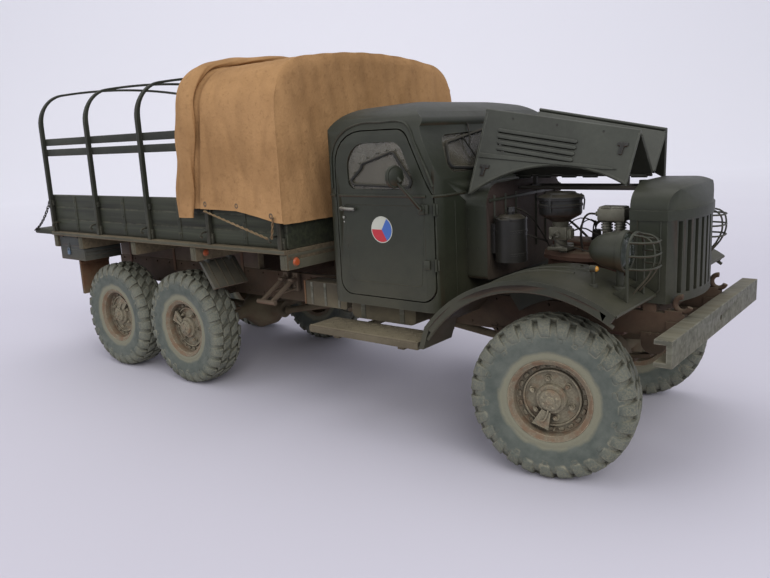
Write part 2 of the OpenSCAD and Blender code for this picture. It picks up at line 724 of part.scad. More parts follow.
module cab_shell() {
    color(olive) placed() {
        difference() {
            union() {
                cab_skin();
                cowl();
            }
            both() door_cut(door_gap);
            both() front_plate(screen_outline(0), -cab_front - 7.5, -cab_front + 3);
            front_plate(rear_window(0), -cab_rear - 2, -cab_rear + 3);
            block([-cab_rear - 1, -cab_front + 0.5], [-rail_y - 2.4, rail_y + 2.4], [0, rail_top + seat]);
            both() block([-cab_front - 3, -cab_front + 2], [-0.1, cowl_w / 2 - 1.2], [35, cowl_top - 1.4]);
        }
        canister();
    }
}

module cab_glass() {
    lean = atan(screen_lean / (screen_z1 - screen_z0));
    color([0.6, 0.66, 0.68, 0.4]) placed() {
        both() intersection() {
            front_plate(screen_outline(-0.05), -cab_front - 9, -cab_front + 3);
            translate([-cab_front - 0.35, 0, screen_z0])
                rotate([0, -lean, 0])
                    block([-0.5, 0], [0, 40], [-2, 20]);
        }
        front_plate(rear_window(-0.05), -cab_rear + 0.35, -cab_rear + 0.85);
    }
}

module cab_interior() {
    y = cab_y - cab_wall - 0.15;
    color([0.24, 0.25, 0.2]) placed() {
        difference() {
            union() {
                block([-cab_rear + cab_wall + 0.15, -cab_front - cab_wall - 0.15], [-y, y],
                    [cab_floor_z - 1, cab_floor_z]);
                block([-cab_rear + cab_wall + 0.6, -cab_rear + 14], [-y + 3.4, y - 3.4], [cab_floor_z, cab_floor_z + 5]);
                block([-cab_rear + cab_wall + 0.6, -cab_rear + 15], [-y + 2.6, y - 2.6],
                    [cab_floor_z + 4.8, cab_floor_z + 8.6]);
                block([-cab_rear + cab_wall + 0.6, -cab_rear + 5], [-y + 2.6, y - 2.6],
                    [cab_floor_z + 8.4, cab_floor_z + 20]);
                block([-cab_front - cab_wall - 3.2, -cab_front - cab_wall - 0.3], [-y + 4, y - 4], [46, 51.4]);
                both() block([-cab_front - cab_wall - 3.2, -cab_front - cab_wall - 1], [y - 5.4, y - 4],
                    [cab_floor_z - 0.2, 47]);
            }
            for (c = [[-1, -1], [-1, 1], [1, -1], [1, 1]])
                translate([(c[0] < 0 ? -cab_rear + cab_wall : -cab_front - cab_wall), c[1] * (y + 0.15), 20])
                    rotate([0, 0, 45]) cube([4.6, 4.6, 30], center = true);
        }
    }
}

wheel_z = 50.2;
wheel_lean = 32;
column_l = (wheel_z - cab_floor_z - 0.15) / cos(wheel_lean) - 0.5 * tan(wheel_lean);

module steering_wheel() {
    color([0.08, 0.08, 0.08]) placed()
        translate([-36.4, 11.6, wheel_z]) rotate([0, -wheel_lean, 0]) {
            rotate_extrude() translate([5, 0]) circle(r = 0.42, $fn = 20);
            for (a = [90, 210, 330])
                rod([0.5 * cos(a), 0.5 * sin(a), -0.3], [4.95 * cos(a), 4.95 * sin(a), 0], 0.25, $fn = 16);
            translate([0, 0, -1]) cylinder(r = 0.9, h = 1.4);
            translate([0, 0, -column_l]) cylinder(r = 0.5, h = column_l - 0.6);
        }
}

module door_shape() {
    difference() {
        intersection() {
            cab_skin();
            door_cut(0);
        }
        side_plate(window_outline(0), cab_y - 4, cab_y + 4);
    }
}

module mirror_arm() {
    rod([-25.6, cab_y - 0.2, 49], [-25.6, cab_y + 1, 49.2], 0.45, $fn = 20);
    rod([-25.6, cab_y + 0.8, 49.2], [-29.2, cab_y + 3.6, 55], 0.35, $fn = 20);
    translate([-29.2, cab_y + 3.6, 55.6]) rotate([0, -90, 12]) cylinder(r = 2.1, h = 0.6, center = true);
    translate([-46, cab_y - 0.2, 48.8]) rotate([-90, 0, 0]) cylinder(r = 0.4, h = 0.9, $fn = 20);
    rod([-46.2, cab_y + 0.6, 48.8], [-43.4, cab_y + 0.6, 48.6], 0.35, $fn = 20);
}

module door_at(side) {
    color(olive) placed() mirror([0, side > 0 ? 0 : 1, 0]) {
        door_shape();
        mirror_arm();
    }
}

module door_glass_at(side) {
    color([0.6, 0.66, 0.68, 0.4]) placed() mirror([0, side > 0 ? 0 : 1, 0])
        intersection() {
            side_plate(window_outline(-0.05), cab_y - 4, cab_y + 4);
            difference() {
                cab_form(0.35);
                cab_form(0.85);
            }
        }
}

module door_right() { door_at(-1); }
module door_left() { door_at(1); }
module door_glass_right() { door_glass_at(-1); }
module door_glass_left() { door_glass_at(1); }

// ---- Bonnet ----

bonnet_rear_x = -19.8;
bonnet_front_x = shell_x - shell_d - 0.3;
bonnet_l = bonnet_front_x - bonnet_rear_x;
fold_rise = atan((bonnet_rear_w - bonnet_front_w) / bonnet_l);
fold_l = norm([bonnet_l, bonnet_rear_w - bonnet_front_w]);
fold_gap = 0.42;
arch_u = -bonnet_rear_x;
arch_r = 26.7;
arch_v = bonnet_side_d - 8.9 + arch_r;

// Raises a left top panel, drawn flat, about the centre hinge.
module raised_top() {
    translate([0, 0, bonnet_z]) rotate([bonnet_open, 0, 0]) children();
}

// The centre hinge is a piano hinge: the barrels of the two sides take turns along one pin.
pin_r = 0.25;
barrel_r = 0.5;
barrel_l = 3;
barrel_x = [-17.4, -7.4, 2.6];
barrel_step = 4.6;

module bonnet_top_shape(first_x) {
    raised_top()
        difference() {
            union() {
                linear_extrude(bonnet_t, center = true)
                    polygon([[bonnet_rear_x, 0.65], [bonnet_front_x, 0.65],
                        [bonnet_front_x, bonnet_front_w - bonnet_t / 2 - fold_gap],
                        [bonnet_rear_x, bonnet_rear_w - bonnet_t / 2 - fold_gap]]);
                for (x = barrel_x)
                    translate([x + first_x, 0, 0]) {
                        rotate([0, 90, 0]) cylinder(r = barrel_r, h = barrel_l, center = true, $fn = 24);
                        block([-barrel_l / 2, barrel_l / 2], [0, 0.8], [-0.3, 0.3]);
                    }
            }
            rotate([0, 90, 0]) cylinder(r = pin_r + run_fit, h = 80, center = true, $fn = 24);
        }
}

// The side panel, hung from the fold line: u runs forward along the fold, v down the panel.
module bonnet_side_shape() {
    reach = [for (i = [0:16]) let (u = 1 + (fold_l - 1) * i / 16)
        [u, min(bonnet_side_d, arch_v - sqrt(pow(arch_r, 2) - pow(u - arch_u - 1.2, 2)))]];
    raised_top()
        translate([bonnet_rear_x, bonnet_rear_w, 0])
            rotate([0, 0, -fold_rise])
                rotate([-bonnet_fold, 0, 0])
                    difference() {
                        union() {
                            linear_extrude(bonnet_t, center = true)
                                polygon(concat([[0.1, 0]], reach, [[fold_l, 0]]));
                            rotate([0, 90, 0]) cylinder(r = bonnet_t / 2, h = fold_l, $fn = 24);
                        }
                        for (v = [4, 5.2, 6.4, 7.6])
                            block([3 + v * 0.2, 19.6], [v - 0.25, v + 0.25], [-2, 2]);
                    }
}

module bonnet_top_right() {
    color(olive) placed() mirror([0, 1, 0]) bonnet_top_shape(0);
}

module bonnet_top_left() {
    color(olive) placed() bonnet_top_shape(barrel_step);
}

module bonnet_side_right() {
    color(olive) placed() mirror([0, 1, 0]) bonnet_side_shape();
}

module bonnet_side_left() {
    color(olive) placed() bonnet_side_shape();
}

// ---- Under the cab and the bed ----

step_y0 = 23.8;
step_y1 = 32;
step_z = 23.4;
step_x0 = -54;
step_x1 = -24.4;

module running_boards() {
    color(dust) placed() both() {
        side_plate(rounded([[step_x0, step_z - 1.6, 0.5], [step_x1, step_z - 1.6, 0], [step_x1, step_z, 0],
            [step_x0, step_z, 0.5]]), step_y0, step_y1);
        for (x = [step_x0 + 7, step_x1 - 5]) {
            block([x - 0.8, x + 0.8], [rail_y + rail_w / 2 + seat, step_y1 - 1], [step_z - 2.4, step_z - 1.5]);
            block([x - 0.8, x + 0.8], [rail_y + rail_w / 2 + seat, rail_y + rail_w / 2 + seat + 0.8],
                [step_z - 2.4, rail_top - 1]);
        }
    }
}

tank_y = rail_y + rail_w / 2 + seat + 1;

module side_tanks() {
    color(dust) placed() both() {
        side_plate(rounded([[-49, 23.7, 1.5], [-31.2, 23.7, 1.5], [-31.2, 27.9, 1.5], [-49, 27.9, 1.5]]),
            tank_y, 23);
        side_plate(rounded([[-68.6, 23.6, 0.6], [-55, 23.6, 0.6], [-55, 29.6, 0.6], [-68.6, 29.6, 0.6]]),
            tank_y, 18);
        block([-67, -65], [tank_y - 1, tank_y + 0.5], [24.4, 28.8]);
        block([-59, -57], [tank_y - 1, tank_y + 0.5], [24.4, 28.8]);
        block([-44, -42], [tank_y - 1, tank_y + 0.5], [25, 27.6]);
        block([-36.4, -34.4], [tank_y - 1, tank_y + 0.5], [25, 27.6]);
    }
}

module spare_carrier() {
    y = rail_y + rail_w / 2 + seat;
    color(rust) placed() {
        for (x = [-80, -76.4]) {
            rod([x, -y - 0.6, 29.2], [x - 2, -20.5, 23.4], 0.6, $fn = 24);
            block([x - 0.8, x + 0.8], [-y - 1.2, -y], [25.4, rail_top + 0.3]);
        }
        rod([-83.4, -20.5, 23.4], [-77, -20.5, 23.4], 0.6, $fn = 24);
    }
}

module rear_boxes() {
    x = bearer_x(3) - bearer_w / 2 - seat;
    color(olive) placed() both() {
        block([bed_rear_x + 2.3, bearer_x(1) - bearer_w / 2 - seat], [bed_w / 2 - 13, bed_w / 2 - 1],
            [bearer_z - 3.7, bed_z - 1 - seat]);
        block([bed_rear_x + 2.3, bearer_x(1) + 0.6], [bed_w / 2 - 13, bed_w / 2 - 1],
            [bearer_z - 3.7, bearer_z - seat]);
        block([bed_rear_x + 6.1, bed_rear_x + 6.9], [bed_w / 2 - 13.5, bed_w / 2 - 4.1], [20.2, bearer_z - 3]);
        side_plate([[x - 1.5, bearer_z - 1], [x - 0.6, bearer_z - 1], [x + 4.2, bearer_z - 7.4],
            [x + 3.3, bearer_z - 7.9]], bed_w / 2 - 15, bed_w / 2 - 4);
        for (y = [bed_w / 2 - 13.6, bed_w / 2 - 6.4])
            block([x - 1.3, x], [y, y + 1], [bearer_z - 1.6, bearer_z + 2]);
    }
}

// ---- Load bed ----

bearer_w = 2.2;
bearer_share = [0, 0.14, 0.413, 0.675, 1];

function bearer_x(i) = bed_rear_x + bearer_w / 2 + bearer_share[i] * (bed_l - bearer_w);

module bed_floor() {
    color([0.4, 0.38, 0.27]) placed() {
        block([bed_rear_x, -bed_front], [-bed_w / 2, bed_w / 2], [bed_z - 1, bed_z]);
        for (i = [0:len(bearer_share) - 1])
            block([bearer_x(i) - bearer_w / 2 + 0.05, bearer_x(i) + bearer_w / 2 - 0.05],
                [-bed_w / 2 + 0.6, bed_w / 2 - 0.6], [bearer_z, bed_z - 0.9]);
        both() block([bed_rear_x + 3, bearer_x(3) + bearer_w / 2], [rail_y - 0.9, rail_y + 0.9],
            [rail_top + seat, bearer_z + 0.2]);
    }
}

function hoop_x(i) = bed_rear_x + 1.2 + i * (bed_l - 2.7) / (hoops_n - 1);

module bed_boards() {
    z0 = bed_z + seat;
    color([0.36, 0.36, 0.26]) placed() {
        both() block([bed_rear_x, -bed_front], [board_y - board_t, board_y], [z0, z0 + board_h]);
        block([-bed_front - board_t, -bed_front], [-board_y + board_t - 0.1, board_y - board_t + 0.1],
            [z0, z0 + board_h]);
    }
}

// The hoop's curve: straight posts, two corner arcs and a shallow crown that meets them smoothly.
corner_y = post_y - hoop_corner;
corner_z = hoop_top - hoop_r - 10.8;
crown_top = hoop_top - hoop_r;
crown_h = crown_top - corner_z;
crown_r = (corner_y * corner_y + crown_h * crown_h - hoop_corner * hoop_corner) / (2 * (crown_h - hoop_corner));
crown_a = asin(corner_y / (crown_r - hoop_corner));

// The area inside the arch grown by g, seen from the front.
function arch_outline(g, z0) = concat(
    [[-post_y - g, z0], [post_y + g, z0]],
    [for (i = [0:12]) let (a = (90 - crown_a) * i / 12)
        [corner_y + (hoop_corner + g) * cos(a), corner_z + (hoop_corner + g) * sin(a)]],
    [for (i = [1:15]) let (a = 90 - crown_a + 2 * crown_a * i / 16)
        [(crown_r + g) * cos(a), crown_top - crown_r + (crown_r + g) * sin(a)]],
    [for (i = [12:-1:0]) let (a = (90 - crown_a) * i / 12)
        [-corner_y - (hoop_corner + g) * cos(a), corner_z + (hoop_corner + g) * sin(a)]]);

// A band of the arch between two growths, centred on X = 0 and as long as given.
module arch_band(g0, g1, z0, l) {
    difference() {
        front_plate(arch_outline(g1, z0), -l / 2, l / 2);
        front_plate(arch_outline(g0, z0 - 5), -l, l);
    }
}

module hoops() {
    color(olive) placed() {
        for (i = [0:hoops_n - 1])
            translate([hoop_x(i), 0, 0]) {
                arch_band(-hoop_r, hoop_r, bed_z + seat, 2 * hoop_r);
                both() block([-1.1, 1.1], [board_y + 0.05, post_y + 0.1], [bed_z + seat, bed_z + 2.6]);
                both() block([-1.1, 1.1], [board_y + 0.05, post_y + 0.1],
                    [bed_z + board_h - 3, bed_z + board_h - 1.6]);
            }
        both() for (z = [62.1, 65.1])
            block([hoop_x(0) - 0.6, hoop_x(hoops_n - 1) + 0.6], [post_y - hoop_r - 0.7, post_y - hoop_r + 0.25],
                [z, z + 2]);
    }
}

// ---- Cover ----

cover_rear_x = cover_front_x - cover_l;
cover_z0 = bed_z + board_h - cover_drop;

module cover() {
    color([0.64, 0.5, 0.33]) placed() {
        difference() {
            front_plate(arch_outline(cover_gap + cover_t + hoop_r, cover_z0), cover_rear_x, cover_front_x);
            front_plate(arch_outline(cover_gap + hoop_r, cover_z0 - 5), cover_rear_x - 1, cover_front_x - cover_t);
        }
        translate([cover_rear_x, 0, 0])
            arch_band(cover_gap + hoop_r, cover_gap + hoop_r + roll_t, cover_z0 - 0.4, roll_l);
    }
}

module cover_ropes() {
    y = cover_outer_y + 0.5;
    color([0.45, 0.36, 0.24]) placed() both() {
        rod([cover_rear_x + 6, y, cover_z0 + 1.4], [-bed_front - 4, y - 0.4, bed_z + 2.6], 0.25, $fn = 16);
        rod([-bed_front - 1.4, y, cover_z0 + 0.6], [-bed_front - 2.8, y - 0.4, bed_z + 2.6], 0.25, $fn = 16);
    }
}

// ---- Tailgate ----

module tailgate() {
    color([0.36, 0.36, 0.26]) placed() translate([gate_x, 0, gate_z]) {
        block([-gate_l, -gate_t / 2 - 0.1], [-board_y, board_y], [-gate_t / 2, gate_t / 2]);
        for (y = [-24, -8, 8, 24]) {
            disc_y(0, y, 0, gate_t / 2, 2.6);
            block([-2, 0], [y - 1.3, y + 1.3], [-gate_t / 2, gate_t / 2]);
        }
    }
}

module tailgate_chains() {
    top = [bed_rear_x - 0.1, board_y + 0.45, bed_z + board_h - 1.6];
    low = [gate_x - gate_l + 0.8, board_y + 0.45, gate_z + 0.2];
    links = 12;
    color([0.25, 0.24, 0.22]) placed() both() {
        for (i = [0:links - 1]) {
            t = i / links;
            s = (i + 1.12) / links;
            sag = 1.4;
            rod(top + (low - top) * t - [0, 0, 4 * sag * t * (1 - t)],
                top + (low - top) * min(1, s) - [0, 0, 4 * sag * min(1, s) * (1 - min(1, s))], 0.32, $fn = 12);
        }
    }
}

chassis_frame();
bumper();
leaf_springs();
front_axle();
rear_axles();
driveline();
engine();
air_cleaner();
radiator();
radiator_shell();
cab_shell();
cab_interior();
steering_wheel();
cab_glass();
door_right();
door_left();
door_glass_right();
door_glass_left();
wings();
running_boards();
headlamps();
side_tanks();
spare_carrier();
rear_boxes();
bed_floor();
bed_boards();
hoops();
cover();
cover_ropes();
tailgate();
tailgate_chains();
bonnet_top_right();
bonnet_top_left();
bonnet_side_right();
bonnet_side_left();
knuckle_right();
knuckle_left();
tyre_front_right();
tyre_front_left();
tyre_middle_right();
tyre_middle_left();
tyre_rear_right();
tyre_rear_left();
wheel_front_right();
wheel_front_left();
wheel_middle_right();
wheel_middle_left();
wheel_rear_right();
wheel_rear_left();
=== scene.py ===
import math
import random

import bmesh
import bpy
from mathutils import Matrix, Vector


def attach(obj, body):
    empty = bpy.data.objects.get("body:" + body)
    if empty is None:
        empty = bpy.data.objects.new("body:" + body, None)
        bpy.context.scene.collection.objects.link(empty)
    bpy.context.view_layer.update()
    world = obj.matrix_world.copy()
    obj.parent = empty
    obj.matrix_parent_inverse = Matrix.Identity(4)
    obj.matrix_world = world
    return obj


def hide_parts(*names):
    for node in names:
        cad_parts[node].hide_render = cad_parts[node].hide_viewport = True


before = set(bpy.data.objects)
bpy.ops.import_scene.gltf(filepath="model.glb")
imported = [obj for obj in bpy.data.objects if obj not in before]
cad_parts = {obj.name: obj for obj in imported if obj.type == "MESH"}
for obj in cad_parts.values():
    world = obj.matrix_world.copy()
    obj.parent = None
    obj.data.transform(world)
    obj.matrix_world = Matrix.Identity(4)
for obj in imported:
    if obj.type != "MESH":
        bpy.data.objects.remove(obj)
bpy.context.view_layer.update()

scene = bpy.context.scene
scene.view_settings.view_transform = "Standard"


# ---- The view, the floor and the light ----
# The truck stands on a pale seamless table and is seen from its right front corner, from a little
# above the bonnet. Lengths below are millimetres with X from the front axle, as the maker's own
# drawings have them; to_part moves them to the part's metres, measured from mid-length.
FRONT_AXLE_X = 75.0
to_part = Matrix.Scale(0.001, 4) @ Matrix.Translation((FRONT_AXLE_X, 0, 0))

EYE = Vector((59.56, -144.48, 63.72))
YAW, PITCH, ROLL = (math.radians(a) for a in (129.109, -11.782, -2.826))
ahead = Vector((math.cos(PITCH) * math.cos(YAW), math.cos(PITCH) * math.sin(YAW), math.sin(PITCH)))
level_right = ahead.cross(Vector((0, 0, 1))).normalized()
level_up = level_right.cross(ahead)
right = math.cos(ROLL) * level_right + math.sin(ROLL) * level_up
up = math.cos(ROLL) * level_up - math.sin(ROLL) * level_right
camera = bpy.data.objects.new("camera", bpy.data.cameras.new("camera"))
camera.matrix_world = Matrix.Translation(to_part @ EYE) @ Matrix((right, up, -ahead)).transposed().to_4x4()
camera.data.lens = 34.64
camera.data.sensor_width = 36
camera.data.clip_start = 0.005
camera.data.clip_end = 20
scene.collection.objects.link(camera)
scene.camera = camera


def srgb(red, green, blue):
    """A colour as a painter's chart gives it, 0 to 255, made linear."""
    return tuple(
        (c / 255 / 12.92 if c <= 10 else ((c / 255 + 0.055) / 1.055) ** 2.4) for c in (red, green, blue)
    ) + (1,)


def new_material(name, **sockets):
    """An empty finish with its Principled shader, whose own sockets are set by name."""
    made = bpy.data.materials.new(name)
    made.use_nodes = True
    tree = made.node_tree
    shader = tree.nodes["Principled BSDF"]
    for socket, value in sockets.items():
        shader.inputs[socket.replace("_", " ")].default_value = value
    return made, tree, shader


def put(tree, kind, *links, **values):
    """Adds a node, sets its values and feeds its inputs. A link is (input, output socket or value)."""
    made = tree.nodes.new("ShaderNode" + kind)
    for key, value in values.items():
        setattr(made, key, value)
    for socket, source in links:
        if isinstance(source, bpy.types.NodeSocket):
            tree.links.new(source, made.inputs[socket])
        else:
            made.inputs[socket].default_value = source
    return made


def sums(tree, operation, a, b, clamp=False):
    """The output of one Math node."""
    return put(tree, "Math", (0, a), (1, b), operation=operation, use_clamp=clamp).outputs[0]


def blended(tree, mask, a, b):
    """The colour a where mask is 0 and b where it is 1."""
    return put(tree, "Mix", (0, mask), (6, a), (7, b), data_type="RGBA").outputs[2]


def ramp(tree, value, low, high, to_low=0.0, to_high=1.0):
    """The value taken from low..high to to_low..to_high, and held there outside it."""
    return put(tree, "MapRange", (0, value), (1, low), (2, high), (3, to_low), (4, to_high)).outputs[0]


# Painted light: the paper is darker near the camera and paler away from it and up the sweep.
NEAR_PAPER_SHADED, FAR_PAPER_LIT = srgb(204, 202, 213), srgb(248, 248, 254)
paper, tree, shader = new_material("table paper", Roughness=0.95)
at = put(tree, "TexCoord").outputs["Object"]
fibre = put(tree, "TexNoise", ("Vector", at), ("Scale", 9.0), ("Detail", 3.0)).outputs["Fac"]
away = put(
    tree, "VectorMath", (0, at), (1, (math.cos(YAW), math.sin(YAW), 0.9)), operation="DOT_PRODUCT"
).outputs["Value"]
away = sums(tree, "ADD", away, ramp(tree, fibre, 0.3, 0.7, -0.01, 0.01))
tree.links.new(blended(tree, ramp(tree, away, 0.1, 0.75), NEAR_PAPER_SHADED, FAR_PAPER_LIT), shader.inputs["Base Color"])
SWEEP_BACK, SWEEP_RADIUS, SWEEP_TOP = 0.75, 0.45, 1.6
bm = bmesh.new()
profile = [bm.verts.new((0, -1.6, 0)), bm.verts.new((0, SWEEP_BACK, 0))]
for i in range(1, 13):
    turn = math.radians(7.5 * i)
    back, rise = SWEEP_RADIUS * math.sin(turn), SWEEP_RADIUS * (1 - math.cos(turn))
    profile.append(bm.verts.new((0, SWEEP_BACK + back, rise)))
profile.append(bm.verts.new((0, SWEEP_BACK + SWEEP_RADIUS, SWEEP_TOP)))
edges = [bm.edges.new(pair) for pair in zip(profile, profile[1:])]
wide = bmesh.ops.extrude_edge_only(bm, edges=edges)["geom"]
bmesh.ops.translate(bm, vec=(4.4, 0, 0), verts=[v for v in wide if isinstance(v, bmesh.types.BMVert)])
bmesh.ops.translate(bm, vec=(-2.2, 0, 0), verts=bm.verts)
bmesh.ops.rotate(bm, matrix=Matrix.Rotation(YAW - math.pi / 2, 3, "Z"), verts=bm.verts)
bmesh.ops.recalc_face_normals(bm, faces=bm.faces)
table = bpy.data.objects.new("table", bpy.data.meshes.new("table"))
bm.to_mesh(table.data)
bm.free()
for face in table.data.polygons:
    face.use_smooth = True
table.data.materials.append(paper)
scene.collection.objects.link(table)

world = bpy.data.worlds.new("studio")
world.use_nodes = True
scene.world = world
tree = world.node_tree
path = put(tree, "LightPath")
seen = sums(tree, "MAXIMUM", path.outputs["Is Camera Ray"], path.outputs["Is Transmission Ray"])
seen = sums(tree, "MAXIMUM", seen, path.outputs["Is Glossy Ray"])
sky = blended(tree, seen, (0.93, 0.93, 1.0, 1), srgb(231, 231, 241))
tree.links.new(sky, tree.nodes["Background"].inputs["Color"])
tree.links.new(ramp(tree, seen, 0, 1, 0.62, 1.0), tree.nodes["Background"].inputs["Strength"])
for name, place, size, power in (
    ("ceiling", (-0.15, 0.1, 0.95), 0.9, 2.9),
    ("window", (0.75, -0.55, 0.6), 0.6, 4.4),
    ("fill", (-0.55, -0.8, 0.35), 0.7, 1.9),
):
    lamp = bpy.data.objects.new(name, bpy.data.lights.new(name, "AREA"))
    lamp.data.size = size
    lamp.data.energy = power
    lamp.data.color = (1, 0.985, 0.96)
    lamp.location = place
    lamp.rotation_mode = "QUATERNION"
    lamp.rotation_quaternion = (Vector((0, 0, 0.03)) - Vector(place)).to_track_quat("-Z", "Y")
    scene.collection.objects.link(lamp)


# ---- Finishes that several pieces share ----
# A weathered model's paint: chipped to a paler coat along its edges, with painted shade darkening
# its corners, dusty on what faces up and low down, and rusty underneath. Each effect is a group of nodes.
def new_group(name, inputs, outputs):
    """An empty node group with named float inputs and float outputs, and its two end nodes."""
    made = bpy.data.node_groups.new(name, "ShaderNodeTree")
    for label, value in inputs:
        made.interface.new_socket(label, in_out="INPUT", socket_type="NodeSocketFloat").default_value = value
    for label in outputs:
        made.interface.new_socket(label, in_out="OUTPUT", socket_type="NodeSocketFloat")
    return made, made.nodes.new("NodeGroupInput").outputs, made.nodes.new("NodeGroupOutput").inputs


chips, given, wanted = new_group("chipped edges", [("Reach", 0.0004), ("Amount", 0.6)], ["Mask"])
rounded_normal = put(chips, "Bevel", ("Radius", given["Reach"]), samples=6).outputs[0]
true_normal = put(chips, "NewGeometry").outputs["Normal"]
facing = put(
    chips, "VectorMath", (0, rounded_normal), (1, true_normal), operation="DOT_PRODUCT"
).outputs["Value"]
bent = ramp(chips, facing, 0.995, 0.86)
at = put(chips, "TexCoord").outputs["Object"]
flakes = put(
    chips, "TexNoise", ("Vector", at), ("Scale", 420.0), ("Detail", 5.0), ("Roughness", 0.7)
).outputs["Fac"]
broken = sums(chips, "MULTIPLY", bent, ramp(chips, flakes, 0.42, 0.62))
chips.links.new(sums(chips, "MULTIPLY", broken, given["Amount"], True), wanted["Mask"])

# Painted shade: the less open sky the ambient occlusion finds nearby, the darker, made patchy by noise.
corner_occlusion, given, wanted = new_group("corner occlusion", [("Reach", 0.003), ("Amount", 0.8)], ["Mask"])
open_sky = put(
    corner_occlusion, "AmbientOcclusion", ("Distance", given["Reach"]), samples=6, only_local=False
).outputs["AO"]
at = put(corner_occlusion, "TexCoord").outputs["Object"]
shade_patches = put(corner_occlusion, "TexNoise", ("Vector", at), ("Scale", 160.0), ("Detail", 4.0)).outputs["Fac"]
shut = sums(corner_occlusion, "MULTIPLY", ramp(corner_occlusion, open_sky, 0.85, 0.2), ramp(corner_occlusion, shade_patches, 0.2, 0.6, 0.5, 1.0))
corner_occlusion.links.new(sums(corner_occlusion, "MULTIPLY", shut, given["Amount"], True), wanted["Mask"])

dusting, given, wanted = new_group(
    "settled dust", [
        ("Low", 0.025), ("High", 0.05), ("Below", 0.6), ("On top", 0.25), ("Scale", 90.0)
    ], ["Mask", "Under"]
)
at = put(dusting, "TexCoord").outputs["Object"]
height = put(dusting, "SeparateXYZ", (0, at)).outputs["Z"]
upward = put(dusting, "SeparateXYZ", (0, put(dusting, "NewGeometry").outputs["Normal"])).outputs["Z"]
clouds = put(
    dusting, "TexNoise", ("Vector", at), ("Scale", given["Scale"]), ("Detail", 6.0), ("Roughness", 0.65)
).outputs["Fac"]
low_down = sums(dusting, "MULTIPLY", ramp(dusting, height, given["High"], given["Low"]), given["Below"])
on_top = sums(dusting, "MULTIPLY", ramp(dusting, upward, 0.2, 0.95), given["On top"])
lying = sums(dusting, "ADD", low_down, on_top)
dusting.links.new(
    sums(dusting, "MULTIPLY", lying, ramp(dusting, clouds, 0.3, 0.62, 0.25, 1.2), True), wanted["Mask"]
)
dusting.links.new(
    ramp(dusting, sums(dusting, "ADD", upward, ramp(dusting, clouds, 0.3, 0.7, -0.25, 0.25)), -0.15, -0.6),
    wanted["Under"]
)

tooth, given, wanted = new_group("paint tooth", [("Size", 900.0)], ["Tint", "Height"])
at = put(tooth, "TexCoord").outputs["Object"]
fine = put(
    tooth, "TexNoise", ("Vector", at), ("Scale", given["Size"]), ("Detail", 6.0), ("Roughness", 0.7)
).outputs["Fac"]
broad = put(
    tooth, "TexNoise", ("Vector", at), ("Scale", 70.0), ("Detail", 4.0), ("Distortion", 0.4)
).outputs["Fac"]
tooth.links.new(
    sums(tooth, "ADD", ramp(tooth, broad, 0.3, 0.7, 0.0, 0.7), ramp(tooth, fine, 0.3, 0.7, 0.0, 0.3)),
    wanted["Tint"]
)
tooth.links.new(fine, wanted["Height"])

grain, given, wanted = new_group("plank grain", [("Along", 25.0), ("Across", 900.0)], ["Tint", "Height"])
at = put(grain, "TexCoord").outputs["Object"]
stretch = put(grain, "CombineXYZ", (0, given["Along"]), (1, given["Across"]), (2, given["Across"])).outputs[0]
along = put(grain, "VectorMath", (0, at), (1, stretch), operation="MULTIPLY").outputs[0]
lines = put(
    grain, "TexNoise", ("Vector", along), ("Scale", 1.0), ("Detail", 5.0), ("Distortion", 0.6)
).outputs["Fac"]
grain.links.new(ramp(grain, lines, 0.32, 0.7), wanted["Tint"])
grain.links.new(lines, wanted["Height"])


def group(tree, made, **values):
    """Places a node group with its own values and returns its outputs."""
    node = tree.nodes.new("ShaderNodeGroup")
    node.node_tree = made
    for label, value in values.items():
        node.inputs[label.replace("_", " ")].default_value = value
    return node.outputs


DUST = srgb(124, 116, 94)
RUST = srgb(98, 70, 52)
# The dark tone of the painted shade in corners and recesses.
CORNER_SHADE = srgb(24, 23, 19)


def worn(
    name, light, dark, chip=srgb(120, 122, 108), chipped=0.5, reach=0.0003, below=0.5, low=0.024, high=0.05,
    on_top=0.18, under=RUST, rusty=0.85, corner_shading=0.75, corner=0.0025, gloss=0.52, metal=0.0, bump=0.25,
    planks=False, size=900.0,
):
    """A worn finish that runs between two tones, with chips, painted shade in its corners, dust and a rusty
    underside.
    """
    made, tree, shader = new_material(name, Metallic=metal, Specular_IOR_Level=0.32)
    surface = group(tree, grain) if planks else group(tree, tooth, Size=size)
    settled = group(tree, dusting, Low=low, High=high, Below=below, On_top=on_top)
    flaked = group(tree, chips, Reach=reach, Amount=chipped)["Mask"]
    shaded = group(tree, corner_occlusion, Reach=corner, Amount=corner_shading)["Mask"]
    colour = blended(tree, surface["Tint"], dark, light)
    colour = blended(tree, flaked, colour, chip)
    colour = blended(tree, sums(tree, "MULTIPLY", settled["Under"], rusty), colour, under)
    colour = blended(tree, settled["Mask"], colour, DUST)
    # Painted shade: corners and recesses darkened by their ambient occlusion.
    colour = blended(tree, shaded, colour, CORNER_SHADE)
    tree.links.new(colour, shader.inputs["Base Color"])
    dull = sums(
        tree, "ADD", ramp(tree, surface["Tint"], 0, 1, gloss + 0.06, gloss - 0.06),
        sums(tree, "MULTIPLY", settled["Mask"], 0.35), True
    )
    tree.links.new(dull, shader.inputs["Roughness"])
    lift = put(tree, "Bump", ("Strength", bump), ("Distance", 0.00012), ("Height", surface["Height"]))
    tree.links.new(lift.outputs[0], shader.inputs["Normal"])
    return made


# ---- Frame ----
# Two pressed channel rails with six cross members, hangers and trunnion brackets riveted on, all
# brown with rust and road dirt. The front ends carry the bent towing hooks and the bumper's horns.
FRAME_RUST = worn(
    "rusty frame", srgb(84, 62, 48), srgb(44, 34, 28), chip=srgb(104, 86, 68), chipped=0.3, below=0.3,
    low=0.016, high=0.036, on_top=0.4, gloss=0.8, rusty=0.4, bump=0.6, size=500
)


